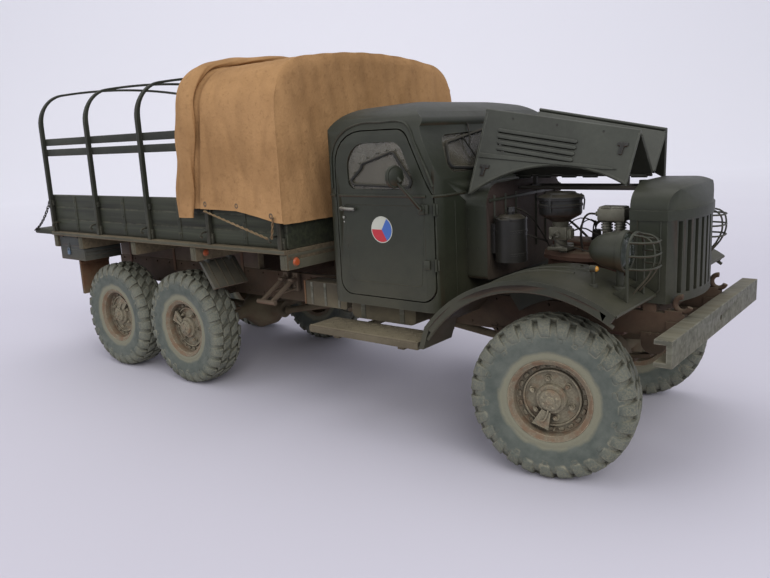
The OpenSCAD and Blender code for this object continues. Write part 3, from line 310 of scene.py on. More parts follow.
def add_box(bm, x, y, z, bevel=0.0, turn=None, segments=2):
    """A block between two values on each axis, with its edges eased."""
    verts = bmesh.ops.create_cube(bm, size=1)["verts"]
    size = Matrix.Diagonal((x[1] - x[0], y[1] - y[0], z[1] - z[0], 1))
    centre = Matrix.Translation(((x[0] + x[1]) / 2, (y[0] + y[1]) / 2, (z[0] + z[1]) / 2))
    bmesh.ops.transform(bm, matrix=(turn or Matrix()) @ centre @ size, verts=verts)
    if bevel:
        edges = list({e for v in verts for e in v.link_edges})
        bmesh.ops.bevel(
            bm, geom=edges, offset=bevel, segments=segments, profile=0.5, affect="EDGES", material=-1
        )
    return verts


def about(middle, half):
    """The two values that lie half either way of a middle one."""
    return middle - half, middle + half


def add_bar(bm, a, b, r, r2=None, sides=16):
    """A round bar, cone or bolt between two points, with closed ends."""
    a, b = Vector(a), Vector(b)
    place = Matrix.Translation((a + b) / 2) @ (b - a).to_track_quat("Z", "Y").to_matrix().to_4x4()
    made = bmesh.ops.create_cone(
        bm, cap_ends=True, cap_tris=False, segments=sides, radius1=r, radius2=r if r2 is None else r2, depth=(
            b - a
        ).length, matrix=place
    )
    return made["verts"]


def turned_at(spot, turn, axis):
    """The place of a shape that is turned about an axis through the origin and moved to a spot."""
    return Matrix.Translation(spot) @ Matrix.Rotation(turn, 4, axis)


def absorb(bm, part):
    """Adds a finished small mesh to a bigger one."""
    mesh = bpy.data.meshes.new("part")
    part.to_mesh(mesh)
    part.free()
    bm.from_mesh(mesh)
    bpy.data.meshes.remove(mesh)


def add_lathe(bm, profile, sides=48, place=None):
    """A turned piece: (radius, height) points spun about Z and closed up, then put in place."""
    part = bmesh.new()
    verts = [part.verts.new((r, 0, h)) for r, h in profile]
    edges = [part.edges.new(pair) for pair in zip(verts, verts[1:])]
    bmesh.ops.spin(
        part, geom=verts + edges, cent=(0, 0, 0), axis=(0, 0, 1), angle=math.tau, steps=sides, use_merge=True
    )
    bmesh.ops.remove_doubles(part, verts=part.verts, dist=1e-4)
    bmesh.ops.recalc_face_normals(part, faces=part.faces)
    if place:
        bmesh.ops.transform(part, matrix=place, verts=part.verts)
    absorb(bm, part)


def add_bolts(bm, places, axis, r=0.45, h=0.4):
    """Hexagon heads standing on their points along an axis."""
    for place in places:
        add_bar(
            bm, Vector(place) - 0.1 * Vector(axis), Vector(place) + h * Vector(axis), r, r * 0.92, sides=6
        )


def add_tube(bm, points, r, sides=8, closed=False, bend=True):
    """A round wire or pipe along a line of points, smoothed between them where it bends."""
    data = bpy.data.curves.new("line", "CURVE")
    data.dimensions = "3D"
    data.bevel_depth = r
    data.bevel_resolution = max(0, sides // 4 - 1)
    data.use_fill_caps = True
    data.resolution_u = 4
    if bend and len(points) > 2:
        line = data.splines.new("BEZIER")
        line.bezier_points.add(len(points) - 1)
        for knot, p in zip(line.bezier_points, points):
            knot.co = p
            knot.handle_left_type = knot.handle_right_type = "AUTO"
    else:
        line = data.splines.new("POLY")
        line.points.add(len(points) - 1)
        for knot, p in zip(line.points, points):
            knot.co = (*p, 1)
    line.use_cyclic_u = closed
    carrier = bpy.data.objects.new("line", data)
    scene.collection.objects.link(carrier)
    mesh = bpy.data.meshes.new_from_object(carrier.evaluated_get(bpy.context.evaluated_depsgraph_get()))
    bm.from_mesh(mesh)
    bpy.data.objects.remove(carrier)
    bpy.data.meshes.remove(mesh)


def both_sides(bm):
    """Adds the same pieces again, mirrored to the other side of the truck."""
    again = bmesh.ops.duplicate(bm, geom=bm.verts[:] + bm.edges[:] + bm.faces[:])["geom"]
    bmesh.ops.scale(bm, vec=(1, -1, 1), verts=[g for g in again if isinstance(g, bmesh.types.BMVert)])
    bmesh.ops.reverse_faces(bm, faces=[g for g in again if isinstance(g, bmesh.types.BMFace)])


def from_cad(*nodes, easing=0.0, weld=0.004):
    """The shape of CAD nodes in drawing millimetres, merged, with flat areas made one face."""
    bm = bmesh.new()
    for node in nodes:
        bm.from_mesh(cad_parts[node].data)
    bmesh.ops.transform(bm, matrix=to_part.inverted(), verts=bm.verts)
    bmesh.ops.remove_doubles(bm, verts=bm.verts, dist=weld)
    bmesh.ops.dissolve_limit(bm, angle_limit=math.radians(0.6), verts=bm.verts, edges=bm.edges)
    if easing:
        sharp = [e for e in bm.edges if e.is_manifold and e.calc_face_angle(0) > math.radians(38)]
        bmesh.ops.bevel(
            bm, geom=sharp, offset=easing, segments=2, profile=0.5, affect="EDGES", material=-1,
            clamp_overlap=True
        )
    return bm


SMOOTH_BELOW = 38


def piece(name, bm, body, *finishes, stands_for=(), smooth=SMOOTH_BELOW):
    """Makes a shown piece of a mesh in drawing millimetres and rides it on its body."""
    mesh = bpy.data.meshes.new(name)
    bm.to_mesh(mesh)
    bm.free()
    mesh.transform(to_part)
    mesh.update()
    for finish in finishes:
        mesh.materials.append(finish)
    mesh.polygons.foreach_set("use_smooth", [smooth > 0] * len(mesh.polygons))
    if smooth:
        mesh.set_sharp_from_angle(angle=math.radians(smooth))
    made = bpy.data.objects.new(name, mesh)
    scene.collection.objects.link(made)
    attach(made, body)
    if stands_for:
        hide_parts(*stands_for)
    return made


piece(
    "frame_rails", from_cad("chassis_frame", easing=0.12), "truck", FRAME_RUST, stands_for=["chassis_frame"]
)
RAIL_SIDE = 12.3
bm = bmesh.new()
for x in range(-156, 8, 6):
    if not -84 < x < -52 or x % 12 == 0:
        add_bar(bm, (x, RAIL_SIDE - 0.1, 28.8), (x, RAIL_SIDE + 0.3, 28.8), 0.32, 0.22, sides=8)
        if x < -2:
            add_bar(bm, (x, RAIL_SIDE - 0.1, 23.4), (x, RAIL_SIDE + 0.3, 23.4), 0.32, 0.22, sides=8)
add_bolts(
    bm, [(14.3, 12.4, 25.6), (15.7, 12.4, 25.6), (-17.8, 12.7, 22.4), (-16.2, 12.7, 22.4)], (0, 1, 0), r=0.38,
    h=0.35
)
for x in (17.3, 18.4):
    add_bolts(bm, [(x, 11.4, 30.2)], (0, 0, 1), r=0.36, h=0.25)
both_sides(bm)
piece("frame_rivets", bm, "truck", FRAME_RUST)

# ---- Bumper ----
# A straight pressed channel bolted across the horns, its paint faded to grey and rubbed bare
# along both edges. The starting handle passes through the hole in its middle.
FADED = worn(
    "faded bumper paint", srgb(100, 101, 89), srgb(66, 66, 56), chip=srgb(150, 148, 134), chipped=0.8,
    reach=0.0005, below=0.3, low=0.022, high=0.03, on_top=0.4, gloss=0.62, rusty=0.5, planks=True, bump=0.2
)
bm = from_cad("bumper", easing=0.18)
piece("bumper_bar", bm, "truck", FADED, stands_for=["bumper"])
bm = bmesh.new()
for y in (9.8, 13.0):
    add_bolts(bm, [(23.3, y, 27.9), (23.3, y, 25.9)], (1, 0, 0), r=0.42, h=-0.02)
both_sides(bm)
piece("bumper_bolts", bm, "truck", FADED)


# ---- Springs, axles and drive shafts ----
# Semi-elliptic leaf springs carry the front axle and a walking pair carries the two rear axles.
# The axles are cast housings with tubes pressed in, caked with brown mud like the gearbox and
# the shafts between them.
MUDDY = worn(
    "muddy castings", srgb(96, 82, 66), srgb(52, 42, 34), chip=srgb(130, 116, 92), chipped=0.4, below=0.55,
    low=0.012, high=0.03, on_top=0.35, gloss=0.85, rusty=0.55, bump=0.7, size=420
)
TYRE_RADIUS = 15.3
REAR_AXLES = (-104.6, -136.6)
piece(
    "spring_leaves", from_cad("leaf_springs", easing=0.06), "truck", FRAME_RUST, stands_for=["leaf_springs"]
)
piece("front_axle_housing", from_cad("front_axle"), "truck", MUDDY, stands_for=["front_axle"])
piece("rear_axle_housings", from_cad("rear_axles"), "truck", MUDDY, stands_for=["rear_axles"])
piece("gearbox_and_shafts", from_cad("driveline", easing=0.15), "truck", MUDDY, stands_for=["driveline"])
bm = bmesh.new()
for x in (0, *REAR_AXLES):
    for y, sign in ((2.6, 1), (-2.6, -1)):
        for i in range(10):
            turn = math.tau * (i + 0.5) / 10
            spot = (x + 5.1 * math.cos(turn), y + sign * 0.1, TYRE_RADIUS + 5.1 * math.sin(turn))
            add_bolts(bm, [spot], (0, sign, 0), r=0.34, h=0.3)
for x in (-1.5, 1.5):
    for y in (10.5, 11.9):
        add_tube(
            bm, [(x - 0.6, y, 17.5), (x - 0.6, y, 20.3), (x + 0.6, y, 20.3), (x + 0.6, y, 17.5)], 0.16,
            bend=False
        )
        add_tube(
            bm, [(x - 0.6, -y, 17.5), (x - 0.6, -y, 20.3), (x + 0.6, -y, 20.3), (x + 0.6, -y, 17.5)], 0.16,
            bend=False
        )
piece("axle_bolts", bm, "truck", MUDDY)
for side in ("right", "left"):
    piece(
        f"steering_knuckle_{side}", from_cad(f"knuckle_{side}", easing=0.08), f"knuckle_{side}_body", MUDDY,
        stands_for=[f"knuckle_{side}"]
    )

# ---- Tyres ----
# Cross-country tyres moulded in one piece: a smooth wall with a bead ring, and blocks that run
# from the crown round onto the wall. The rubber is bleached blue-grey, with dried mud between
# the blocks, tan dust round the rim, and painted shade in the hollows between the blocks.
KINGPIN_Y = 18.8
HALF_TRACK = 25.3
STEER = math.radians(12.6)


def wheel_place(x, side, turned, spin):
    """Where a wheel made about the origin, outboard along +Y, belongs on the truck."""
    handed = Matrix.Diagonal((1, side, 1, 1))
    rolled = Matrix.Rotation(spin, 4, "Y")
    if not turned:
        return to_part @ Matrix.Translation((x, side * HALF_TRACK, TYRE_RADIUS)) @ handed @ rolled
    pivot = Matrix.Translation((x, side * KINGPIN_Y, TYRE_RADIUS)) @ Matrix.Rotation(STEER, 4, "Z")
    return to_part @ pivot @ Matrix.Translation((0, side * (HALF_TRACK - KINGPIN_Y), 0)) @ handed @ rolled


WHEELS = {
    "front_right": (0, -1, True, 0.35),
    "front_left": (0, 1, True, 1.3),
    "middle_right": (REAR_AXLES[0], -1, False, 2.1),
    "middle_left": (REAR_AXLES[0], 1, False, 0.2),
    "rear_right": (REAR_AXLES[1], -1, False, 3.7),
    "rear_left": (REAR_AXLES[1], 1, False, 2.9),
}


def place_wheel(name, bm, corner, finish, stands_for):
    """Makes one wheel piece and keeps its own unplaced coordinates for its finish to read."""
    x, side, turned, spin = WHEELS[corner]
    if side < 0:
        bmesh.ops.reverse_faces(bm, faces=bm.faces)
    mesh = bpy.data.meshes.new(name)
    bm.to_mesh(mesh)
    bm.free()
    own = mesh.attributes.new("wheel_place", "FLOAT_VECTOR", "POINT")
    spots = [c for v in mesh.vertices for c in v.co]
    own.data.foreach_set("vector", spots)
    mesh.transform(wheel_place(x, side, turned, spin))
    mesh.materials.append(finish)
    mesh.polygons.foreach_set("use_smooth", [True] * len(mesh.polygons))
    mesh.set_sharp_from_angle(angle=math.radians(SMOOTH_BELOW))
    made = bpy.data.objects.new(name, mesh)
    scene.collection.objects.link(made)
    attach(made, f"wheel_{corner}_body")
    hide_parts(stands_for)


def radius_on_wheel(tree):
    """The distance from the wheel's own axis in millimetres, and the wheel's own coordinates."""
    own = put(tree, "Attribute", attribute_name="wheel_place").outputs["Vector"]
    flat = put(tree, "VectorMath", (0, own), (1, (1, 0, 1)), operation="MULTIPLY").outputs[0]
    return put(tree, "VectorMath", (0, flat), operation="LENGTH").outputs["Value"], own


RUBBER, tree, shader = new_material("bleached rubber")
reach, own = radius_on_wheel(tree)
cloud = put(
    tree, "TexNoise", ("Vector", own), ("Scale", 0.35), ("Detail", 6.0), ("Roughness", 0.6)
).outputs["Fac"]
crumbs = put(
    tree, "TexNoise", ("Vector", own), ("Scale", 3.2), ("Detail", 5.0), ("Roughness", 0.75)
).outputs["Fac"]
colour = blended(tree, ramp(tree, cloud, 0.3, 0.7), srgb(72, 79, 73), srgb(97, 102, 94))
wavering = sums(tree, "ADD", reach, ramp(tree, cloud, 0.3, 0.7, -0.35, 0.35))
ring = sums(tree, "MULTIPLY", ramp(tree, wavering, 9.6, 8.9), 0.85)
colour = blended(tree, ring, colour, srgb(128, 126, 106))
tread = ramp(tree, wavering, 12.0, 13.4)
speckle = sums(tree, "MULTIPLY", sums(tree, "MULTIPLY", tread, ramp(tree, crumbs, 0.4, 0.62)), 0.7)
colour = blended(tree, speckle, colour, srgb(130, 126, 106))
edge = group(tree, chips, Reach=0.00045, Amount=0.75)["Mask"]
colour = blended(tree, edge, colour, srgb(146, 142, 122))
# Painted shade in the hollows between the tread blocks, from their occlusion.
painted_shading = group(tree, corner_occlusion, Reach=0.0016, Amount=0.75)["Mask"]
colour = blended(tree, painted_shading, colour, srgb(64, 60, 48))
tree.links.new(colour, shader.inputs["Base Color"])
tree.links.new(ramp(tree, crumbs, 0.3, 0.7, 0.72, 0.92), shader.inputs["Roughness"])
rough_skin = put(tree, "Bump", ("Strength", 0.5), ("Distance", 0.00015), ("Height", crumbs)).outputs[0]
tree.links.new(rough_skin, shader.inputs["Normal"])

PITCHES = 27
BLOCK_EASING = 0.13
WALL = [
    (7.42, 3.25), (7.55, 3.6), (7.95, 3.82), (8.5, 3.9), (8.8, 3.78), (9.1, 3.86), (10.2, 4.12), (11.4, 4.28),
    (12.5, 4.26), (13.3, 4.05), (13.95, 3.6), (14.3, 2.9), (14.45, 1.6), (14.5, 0.0),
]
CROWN_TOP = [(0.25, 15.27), (0.9, 15.28), (1.6, 15.28), (2.3, 15.2)]
CROWN_ROOT = [(0.25, 14.3), (0.9, 14.3), (1.6, 14.25), (2.3, 14.1)]
SHOULDER_TOP = [(2.55, 15.22), (3.2, 15.02), (3.8, 14.6), (4.22, 13.9), (4.42, 13.1), (4.4, 12.3)]
SHOULDER_ROOT = [(2.55, 14.1), (3.1, 13.9), (3.5, 13.5), (3.8, 13.0), (4.0, 12.5), (4.05, 12.0)]


def add_block(bm, top, root, middle, slant, half, side):
    """One tread block: a cube drawn out along the tyre's section and bent round the tyre."""
    part = bmesh.new()
    bmesh.ops.create_cube(part, size=1)
    long_edges = [e for e in part.edges if abs((e.verts[0].co - e.verts[1].co).y) > 0.5]
    bmesh.ops.subdivide_edges(part, edges=long_edges, cuts=len(top) - 2)
    for v in part.verts:
        place = round((v.co.y + 0.5) * (len(top) - 1))
        y, r = (top if v.co.z > 0 else root)[place]
        along = place / (len(top) - 1)
        wide = half[0] + (half[1] - half[0]) * along
        turn = middle + slant * (along - 0.5) + 2 * v.co.x * wide * (1.0 if v.co.z > 0 else 1.12)
        v.co = Vector((r * math.sin(turn), side * y, r * math.cos(turn)))
    bmesh.ops.recalc_face_normals(part, faces=part.faces)
    crisp = [e for e in part.edges if e.calc_face_angle(0) > math.radians(40)]
    bmesh.ops.bevel(
        part, geom=crisp, offset=BLOCK_EASING, segments=1, profile=0.5, affect="EDGES", material=-1,
        clamp_overlap=True
    )
    absorb(bm, part)


AXLE_TO_Y = Matrix.Rotation(math.radians(-90), 4, "X")
tyre = bmesh.new()
section = WALL + [(r, -y) for r, y in reversed(WALL[:-1])]
add_lathe(tyre, section + [section[0]], sides=108, place=AXLE_TO_Y)
pitch = math.tau / PITCHES
dice = random.Random(5)
for i in range(PITCHES):
    for side in (-1, 1):
        turn = pitch * (i + (0.25 if side > 0 else -0.25))
        worn_by = dice.uniform(-0.012, 0.012)
        add_block(tyre, SHOULDER_TOP, SHOULDER_ROOT, turn + worn_by, 0.035 * side, (0.082, 0.066), side)
        add_block(tyre, CROWN_TOP, CROWN_ROOT, turn + pitch * 0.22 * side, 0.1 * side, (0.062, 0.078), side)
        if i % 2 == 0:
            nub = Matrix.Rotation(turn, 4, "Y") @ Matrix.Translation((0, side * 4.28, 11.75))
            add_box(tyre, (-0.42, 0.42), (-0.12, 0.12), (-0.36, 0.36), bevel=0.08, turn=nub, segments=1)
for corner in WHEELS:
    place_wheel(f"tyre_tread_{corner}", tyre.copy(), corner, RUBBER, f"tyre_{corner}")
tyre.free()

# ---- Wheels ----
# Pressed steel discs in split rims, with a ring of embossed pockets, six nuts, and a hub flange
# whose air line runs under a keystone plate to the rim. Tan dust over rust-brown paint.
DUSTY_STEEL, tree, shader = new_material("dusty wheel paint")
reach, own = radius_on_wheel(tree)
cloud = put(
    tree, "TexNoise", ("Vector", own), ("Scale", 0.5), ("Detail", 6.0), ("Roughness", 0.65)
).outputs["Fac"]
crumbs = put(
    tree, "TexNoise", ("Vector", own), ("Scale", 2.6), ("Detail", 5.0), ("Roughness", 0.7)
).outputs["Fac"]
colour = blended(tree, ramp(tree, crumbs, 0.3, 0.7), srgb(94, 88, 73), srgb(138, 131, 110))
patches = sums(tree, "MULTIPLY", ramp(tree, cloud, 0.5, 0.66), 0.8)
colour = blended(tree, patches, colour, srgb(116, 92, 70))
rim_rust = sums(tree, "MULTIPLY", ramp(tree, reach, 5.9, 6.8), ramp(tree, cloud, 0.38, 0.55, 0.1, 0.6))
colour = blended(tree, rim_rust, colour, srgb(112, 86, 64))
edge = group(tree, chips, Reach=0.0003, Amount=0.8)["Mask"]
colour = blended(tree, edge, colour, srgb(188, 178, 150))
# Painted shade in the disc's hollows, round its pockets, nuts and flange, from their occlusion.
painted_shading = group(tree, corner_occlusion, Reach=0.0018, Amount=0.95)["Mask"]
colour = blended(tree, painted_shading, colour, srgb(40, 33, 25))
tree.links.new(colour, shader.inputs["Base Color"])
tree.links.new(ramp(tree, crumbs, 0.3, 0.7, 0.68, 0.9), shader.inputs["Roughness"])
grit = put(tree, "Bump", ("Strength", 0.5), ("Distance", 0.00012), ("Height", crumbs)).outputs[0]
tree.links.new(grit, shader.inputs["Normal"])

RIM = [
    (1.36, -0.6), (2.6, -0.6), (2.9, 0.9), (5.2, 0.4), (6.55, 0.2), (6.75, -3.4), (7.75, -3.8), (7.85, -3.6),
    (
        7.75, -3.4
    ), (7.3, -3.3), (7.3, 3.2), (7.75, 3.42), (7.85, 3.7), (7.7, 3.85), (7.4, 3.75), (7.0, 3.4), (6.8, 3.3),
    (6.7, 2.9), (6.62, 1.6), (6.3, 1.3), (
        5.55, 1.25
    ), (5.35, 1.75), (5.1, 1.8), (4.95, 1.35), (4.6, 1.3), (2.9, 1.75),
    (2.75, 2.4), (2.6, 2.55), (2.1, 2.6), (1.95, 3.2), (1.75, 3.35), (0.0, 3.38),
]
BORE = [(0.0, 2.2), (1.36, 2.2), (1.36, -0.6)]
for corner in WHEELS:
    wheel = bmesh.new()
    add_lathe(wheel, RIM + BORE, sides=64, place=AXLE_TO_Y)
    for i in range(20):
        turn = Matrix.Rotation(math.tau * i / 20, 4, "Y")
        add_box(wheel, (-0.55, 0.55), (1.1, 1.62), (5.75, 6.45), bevel=0.12, turn=turn, segments=1)
    for i in range(6):
        turn = math.tau * (i + 0.5) / 6
        at = Vector((3.75 * math.sin(turn), 1.45, 3.75 * math.cos(turn)))
        add_bar(wheel, at, at + Vector((0, 0.25, 0)), 0.72, 0.66, sides=20)
        add_bar(wheel, at + Vector((0, 0.2, 0)), at + Vector((0, 0.8, 0)), 0.48, 0.42, sides=6)
        add_bar(wheel, at + Vector((0, 0.7, 0)), at + Vector((0, 1.1, 0)), 0.2, sides=8)
    for i in range(8):
        turn = math.tau * i / 8
        at = Vector((1.35 * math.sin(turn), 3.3, 1.35 * math.cos(turn)))
        add_bar(wheel, at, at + Vector((0, 0.28, 0)), 0.24, 0.2, sides=6)
    add_bar(wheel, (0, 3.3, 0), (0, 3.6, 0), 0.62, 0.5, sides=16)
    plate = bmesh.ops.create_cone(
        wheel, cap_ends=True, segments=4, radius1=2.3, radius2=2.3, depth=0.5
    )["verts"]
    shape = Matrix.Translation((0, 2.55, -4.05)) @ Matrix.Rotation(
        math.radians(90), 4, "X"
    ) @ Matrix.Rotation(math.radians(45), 4, "Z")
    bmesh.ops.transform(wheel, matrix=shape, verts=plate)
    for v in plate:
        v.co.x *= 0.98 if v.co.z < -4 else 0.52
    add_bar(wheel, (0, 2.7, -4.6), (0, 2.95, -4.6), 0.36, sides=12)
    add_tube(wheel, [(0.3, 3.2, -1.9), (0.35, 2.95, -2.8), (0.3, 3.0, -4.0), (0, 3.0, -4.6)], 0.16)
    add_bar(wheel, (2.4, 1.2, -5.2), (2.5, 2.3, -5.5), 0.2, 0.16, sides=8)
    place_wheel(f"wheel_disc_{corner}", wheel, corner, DUSTY_STEEL, f"wheel_{corner}")


# ---- Engine bay ----
# An in-line petrol engine in red-brown enamel under a cast cylinder head, with a greasy aluminium
# carburettor below a black oil-bath air cleaner, and a two-cylinder compressor by the radiator.
ENGINE_RED = worn(
    "engine enamel", srgb(104, 70, 58), srgb(66, 44, 38), chip=srgb(132, 104, 88), chipped=0.5, below=0.2,
    on_top=0.35, gloss=0.7, rusty=0.3, bump=0.5, size=600
)
GREASY_ALLOY = worn(
    "greasy aluminium", srgb(112, 111, 98), srgb(58, 56, 46), chip=srgb(188, 186, 172), chipped=0.8,
    below=0.1, on_top=0.2, gloss=0.5, metal=0.35, rusty=0.2, corner_shading=0.95, corner=0.002, bump=0.8, size=500
)
BLACK_PAINT = worn(
    "black enamel", srgb(28, 28, 27), srgb(16, 16, 16), chip=srgb(84, 86, 84), chipped=0.45, reach=0.00022,
    below=0.1, on_top=0.2, gloss=0.42, rusty=0.2, bump=0.3
)
WIRE_BLACK = worn(
    "black rubber sleeve", srgb(44, 41, 36), srgb(22, 20, 18), chip=srgb(60, 56, 48), chipped=0.2, below=0.1,
    on_top=0.15, gloss=0.6, rusty=0.0, bump=0.1
)

CYLINDERS = [-8.4 + 2.7 * i for i in range(6)]
bm = bmesh.new()
add_box(bm, (-10, 6.5), (-4.6, 4.6), (22.2, 37.4), bevel=0.35)
add_box(bm, (-9.8, 6.3), (-4.3, 4.3), (37.3, 39.6), bevel=0.3)
add_box(bm, (-9.4, 5.9), (-3.7, 3.7), (39.5, 40.5), bevel=0.3)
for x in (-8.6, -5.6, -2.6, 0.4, 3.4):
    for y in (-3.9, 3.9):
        add_bolts(bm, [(x, y, 39.6)], (0, 0, 1), r=0.34, h=0.35)
for x in CYLINDERS:
    add_box(bm, about(x, 0.75), (4.4, 5.0), (25, 36), bevel=0.2)
    add_bar(bm, (x, 2.2, 40.4), (x, 2.2, 41.3), 0.32, 0.26, sides=8)
add_box(bm, (6.5, 8), (-2.4, 2.4), (29, 36), bevel=0.5)
add_box(bm, (-4, -1.6), (-10.4, 10.4), (27.4, 30.4), bevel=0.2)
add_tube(bm, [(-9.4, -6.1, 38.2), (-6, -6.5, 37.9), (0, -6.5, 37.9), (3.4, -6.1, 38.2)], 1.15, sides=12)
for x in (-8, -3.2, 1.6):
    add_bar(bm, (x, -4.4, 38.2), (x, -6.5, 38), 0.95, sides=14)
piece("engine_block", bm, "truck", ENGINE_RED, stands_for=["engine"])

bm = bmesh.new()
add_box(bm, (3, 6.4), (-6, -4.4), (37, 40.2), bevel=0.2)
add_box(bm, (3.0, 7.8), (-9.8, -4.4), (38.8, 39.6), bevel=0.25)
add_box(bm, (3.3, 7.5), (-9.5, -5.2), (39.5, 43.4), bevel=0.7)
add_lathe(
    bm, [(0.0, 0), (2.2, 0), (2.35, 0.3), (2.2, 0.6), (0, 0.6)], sides=24,
    place=turned_at((5.4, -9.4, 41.3), math.pi / 2, "X")
)
for x in (4.1, 6.7):
    for k in range(4):
        add_bar(bm, (x, -8, 43.6 + 0.52 * k), (x, -8, 43.86 + 0.52 * k), 1.12, sides=20)
    add_bar(bm, (x, -8, 43), (x, -8, 45.8), 0.85, sides=20)
add_box(bm, (2.7, 8.1), (-9.7, -6.3), (45.6, 48.0), bevel=0.3)
add_box(bm, (3.1, 7.7), (-9.3, -6.7), (47.9, 48.4), bevel=0.2)
for x in (3.2, 5.4, 7.6):
    for y in (-9.2, -6.8):
        add_bolts(bm, [(x, y, 48.0)], (0, 0, 1), r=0.3, h=0.3)
add_bar(bm, (2.75, -8, 46.8), (1.9, -8, 46.8), 0.45, sides=10)
CARB_X, CARB_Y = -5, -9
add_box(bm, about(CARB_X, 2.1), about(CARB_Y, 1.7), (39.6, 40.3), bevel=0.15)
add_bar(bm, (CARB_X, CARB_Y, 40.2), (CARB_X, CARB_Y, 41.8), 1.25, sides=20)
add_box(bm, about(CARB_X, 1.9), about(CARB_Y, 1.6), (41.6, 44.3), bevel=0.35)
add_box(bm, (CARB_X + 1.5, CARB_X + 2.6), (CARB_Y - 1.1, CARB_Y + 0.9), (41.9, 43.9), bevel=0.3)
add_bar(bm, (CARB_X, CARB_Y - 1.5, 42.9), (CARB_X, CARB_Y - 2.0, 42.9), 0.55, sides=12)
add_bar(bm, (CARB_X - 1.2, CARB_Y - 1.4, 42.2), (CARB_X - 1.2, CARB_Y - 2.1, 42.2), 0.28, sides=8)
add_bar(bm, (CARB_X, CARB_Y, 44.2), (CARB_X, CARB_Y, 45.6), 1.5, 1.75, sides=24)
add_box(bm, about(CARB_X, 0.9), (-8.2, -4.4), (38.8, 40.4), bevel=0.3)
piece("carburettor_and_compressor", bm, "truck", GREASY_ALLOY)

bm = bmesh.new()
add_lathe(
    bm,
    [
        (0, 45.0), (1.5, 45.0), (1.7, 45.3), (3.3, 46.2), (3.9, 46.5), (4.15, 46.9), (4.15, 48.2),
        (4.32, 48.35), (4.32, 48.7), (4.15, 48.85), (4.15, 49.5), (4.5, 49.62), (4.52, 50.15), (4.3, 50.35),
        (3.1, 50.7), (2.9, 51.0), (0.7, 51.15), (0.62, 51.2), (0, 51.2),
    ],
    sides=56, place=Matrix.Translation((CARB_X, CARB_Y, 0)),
)
for i in range(3):
    turn = math.tau * i / 3 + 0.5
    at = Vector((CARB_X + 4.4 * math.cos(turn), CARB_Y + 4.4 * math.sin(turn), 0))
    add_tube(
        bm,
        [
            at + Vector((0, 0, 47.4)), at + Vector((0, 0, 50.0)),
            Vector((CARB_X + 3.8 * math.cos(turn), CARB_Y + 3.8 * math.sin(turn), 50.6))
        ], 0.16, sides=6
    )
piece("air_cleaner_drum", bm, "truck", BLACK_PAINT, stands_for=["air_cleaner"])

# The loose wiring and the small pipes, which are plain wire pushed over pins.
bm = bmesh.new()
for k, x in enumerate(CYLINDERS):
    add_tube(
        bm,
        [
            (x, 2.2, 41.2), (x + 0.3, 1.7, 43.2), (-2.4 + 0.35 * k, 0.6, 44.2), (-1.6, 0.2, 42.6 + 0.1 * k),
            (-1.4, 0.2, 41.2)
        ], 0.15, sides=6
    )
add_bar(bm, (-1.4, 0.2, 40.4), (-1.4, 0.2, 42.6), 1.05, 0.85, sides=18)
add_tube(
    bm, [(1.95, -8, 46.8), (0.2, -8.2, 46.6), (-0.8, -8.5, 44.4), (-1.0, -8.2, 41.6), (-1.2, -7.0, 39.2)],
    0.22, sides=8
)
add_tube(
    bm,
    [
        (CARB_X - 0.4, CARB_Y - 2.0, 42.9), (CARB_X + 0.6, CARB_Y - 3.2, 41.6), (-1.6, -9.6, 40.2),
        (1.6, -8.6, 39.4), (3.4, -8.2, 39.6)
    ], 0.17, sides=6
)
add_tube(
    bm, [(CARB_X + 2.5, CARB_Y + 0.4, 43.4), (-0.8, -8, 43.9), (1.4, -7.0, 42.8), (3.6, -6.4, 42.2)], 0.15,
    sides=6
)
add_tube(
    bm, [(-17.2, -9.5, 44.4), (-14.4, -9.8, 43.2), (-11.4, -8.4, 41.8), (-9.5, -5.6, 40.6)], 0.2, sides=6
)
add_tube(
    bm, [(-17.2, -7.6, 47.8), (-13.2, -7.4, 46.4), (-10.4, -6.8, 42.8), (-8.6, -6.2, 39.2)], 0.15, sides=6
)
add_tube(bm, [(-17.2, 8, 46), (-12, 7.4, 44), (-7, 6, 41), (-3, 4.5, 38)], 0.25, sides=8)
add_tube(bm, [(8.4, 2.0, 44.5), (10.0, 2.0, 46.2), (11.9, 2.0, 46.4)], 0.8, sides=14)
add_tube(bm, [(6.6, 2.2, 38.5), (7.4, 2.1, 42), (8.4, 2.0, 44.5)], 0.8, sides=14)
piece("engine_wires_and_hoses", bm, "truck", WIRE_BLACK)

# The cooling fan and its belt, and the dark radiator core with its stays and the bonnet's pin.
CORE_BLACK = worn(
    "radiator core", srgb(58, 56, 50), srgb(26, 25, 23), chip=srgb(96, 92, 80), chipped=0.4, below=0.3,
    low=0.03, high=0.04, gloss=0.6, rusty=0.2, bump=0.4
)
piece("radiator_core", from_cad("radiator"), "truck", CORE_BLACK, stands_for=["radiator"])
bm = bmesh.new()
for i in range(19):
    y = -9.9 + 1.1 * i
    add_box(bm, (14.7, 15.05), about(y, 0.12), (32, 47.6))
for i in range(6):
    z = 33.4 + 2.7 * i
    add_box(bm, (14.75, 15.15), (-10.4, 10.4), about(z, 0.12))
add_box(bm, (10.9, 12.0), (-10.2, 10.2), (45.2, 47.9), bevel=0.4)
piece("radiator_tubes", bm, "truck", CORE_BLACK)
bm = bmesh.new()
add_bar(bm, (8.0, 0, 36), (9.4, 0, 36), 1.5, sides=24)
add_bar(bm, (9.3, 0, 36), (9.9, 0, 36), 0.9, sides=16)
for i in range(4):
    turn = Matrix.Translation((9.3, 0, 36)) @ Matrix.Rotation(math.pi / 2 * i + 0.4, 4, "X")
    blade = turn @ Matrix.Translation((0, 0, 3.7)) @ Matrix.Rotation(math.radians(24), 4, "Z")
    add_box(bm, (-0.12, 0.12), (-1.15, 1.15), (-2.7, 2.9), bevel=0.08, turn=blade, segments=1)
add_tube(
    bm, [(8.4, 1.6, 36), (8.4, 1.0, 30.4), (8.4, -1.0, 30.4), (8.4, -1.6, 36), (8.4, 0, 37.6)], 0.28,
    closed=True
)
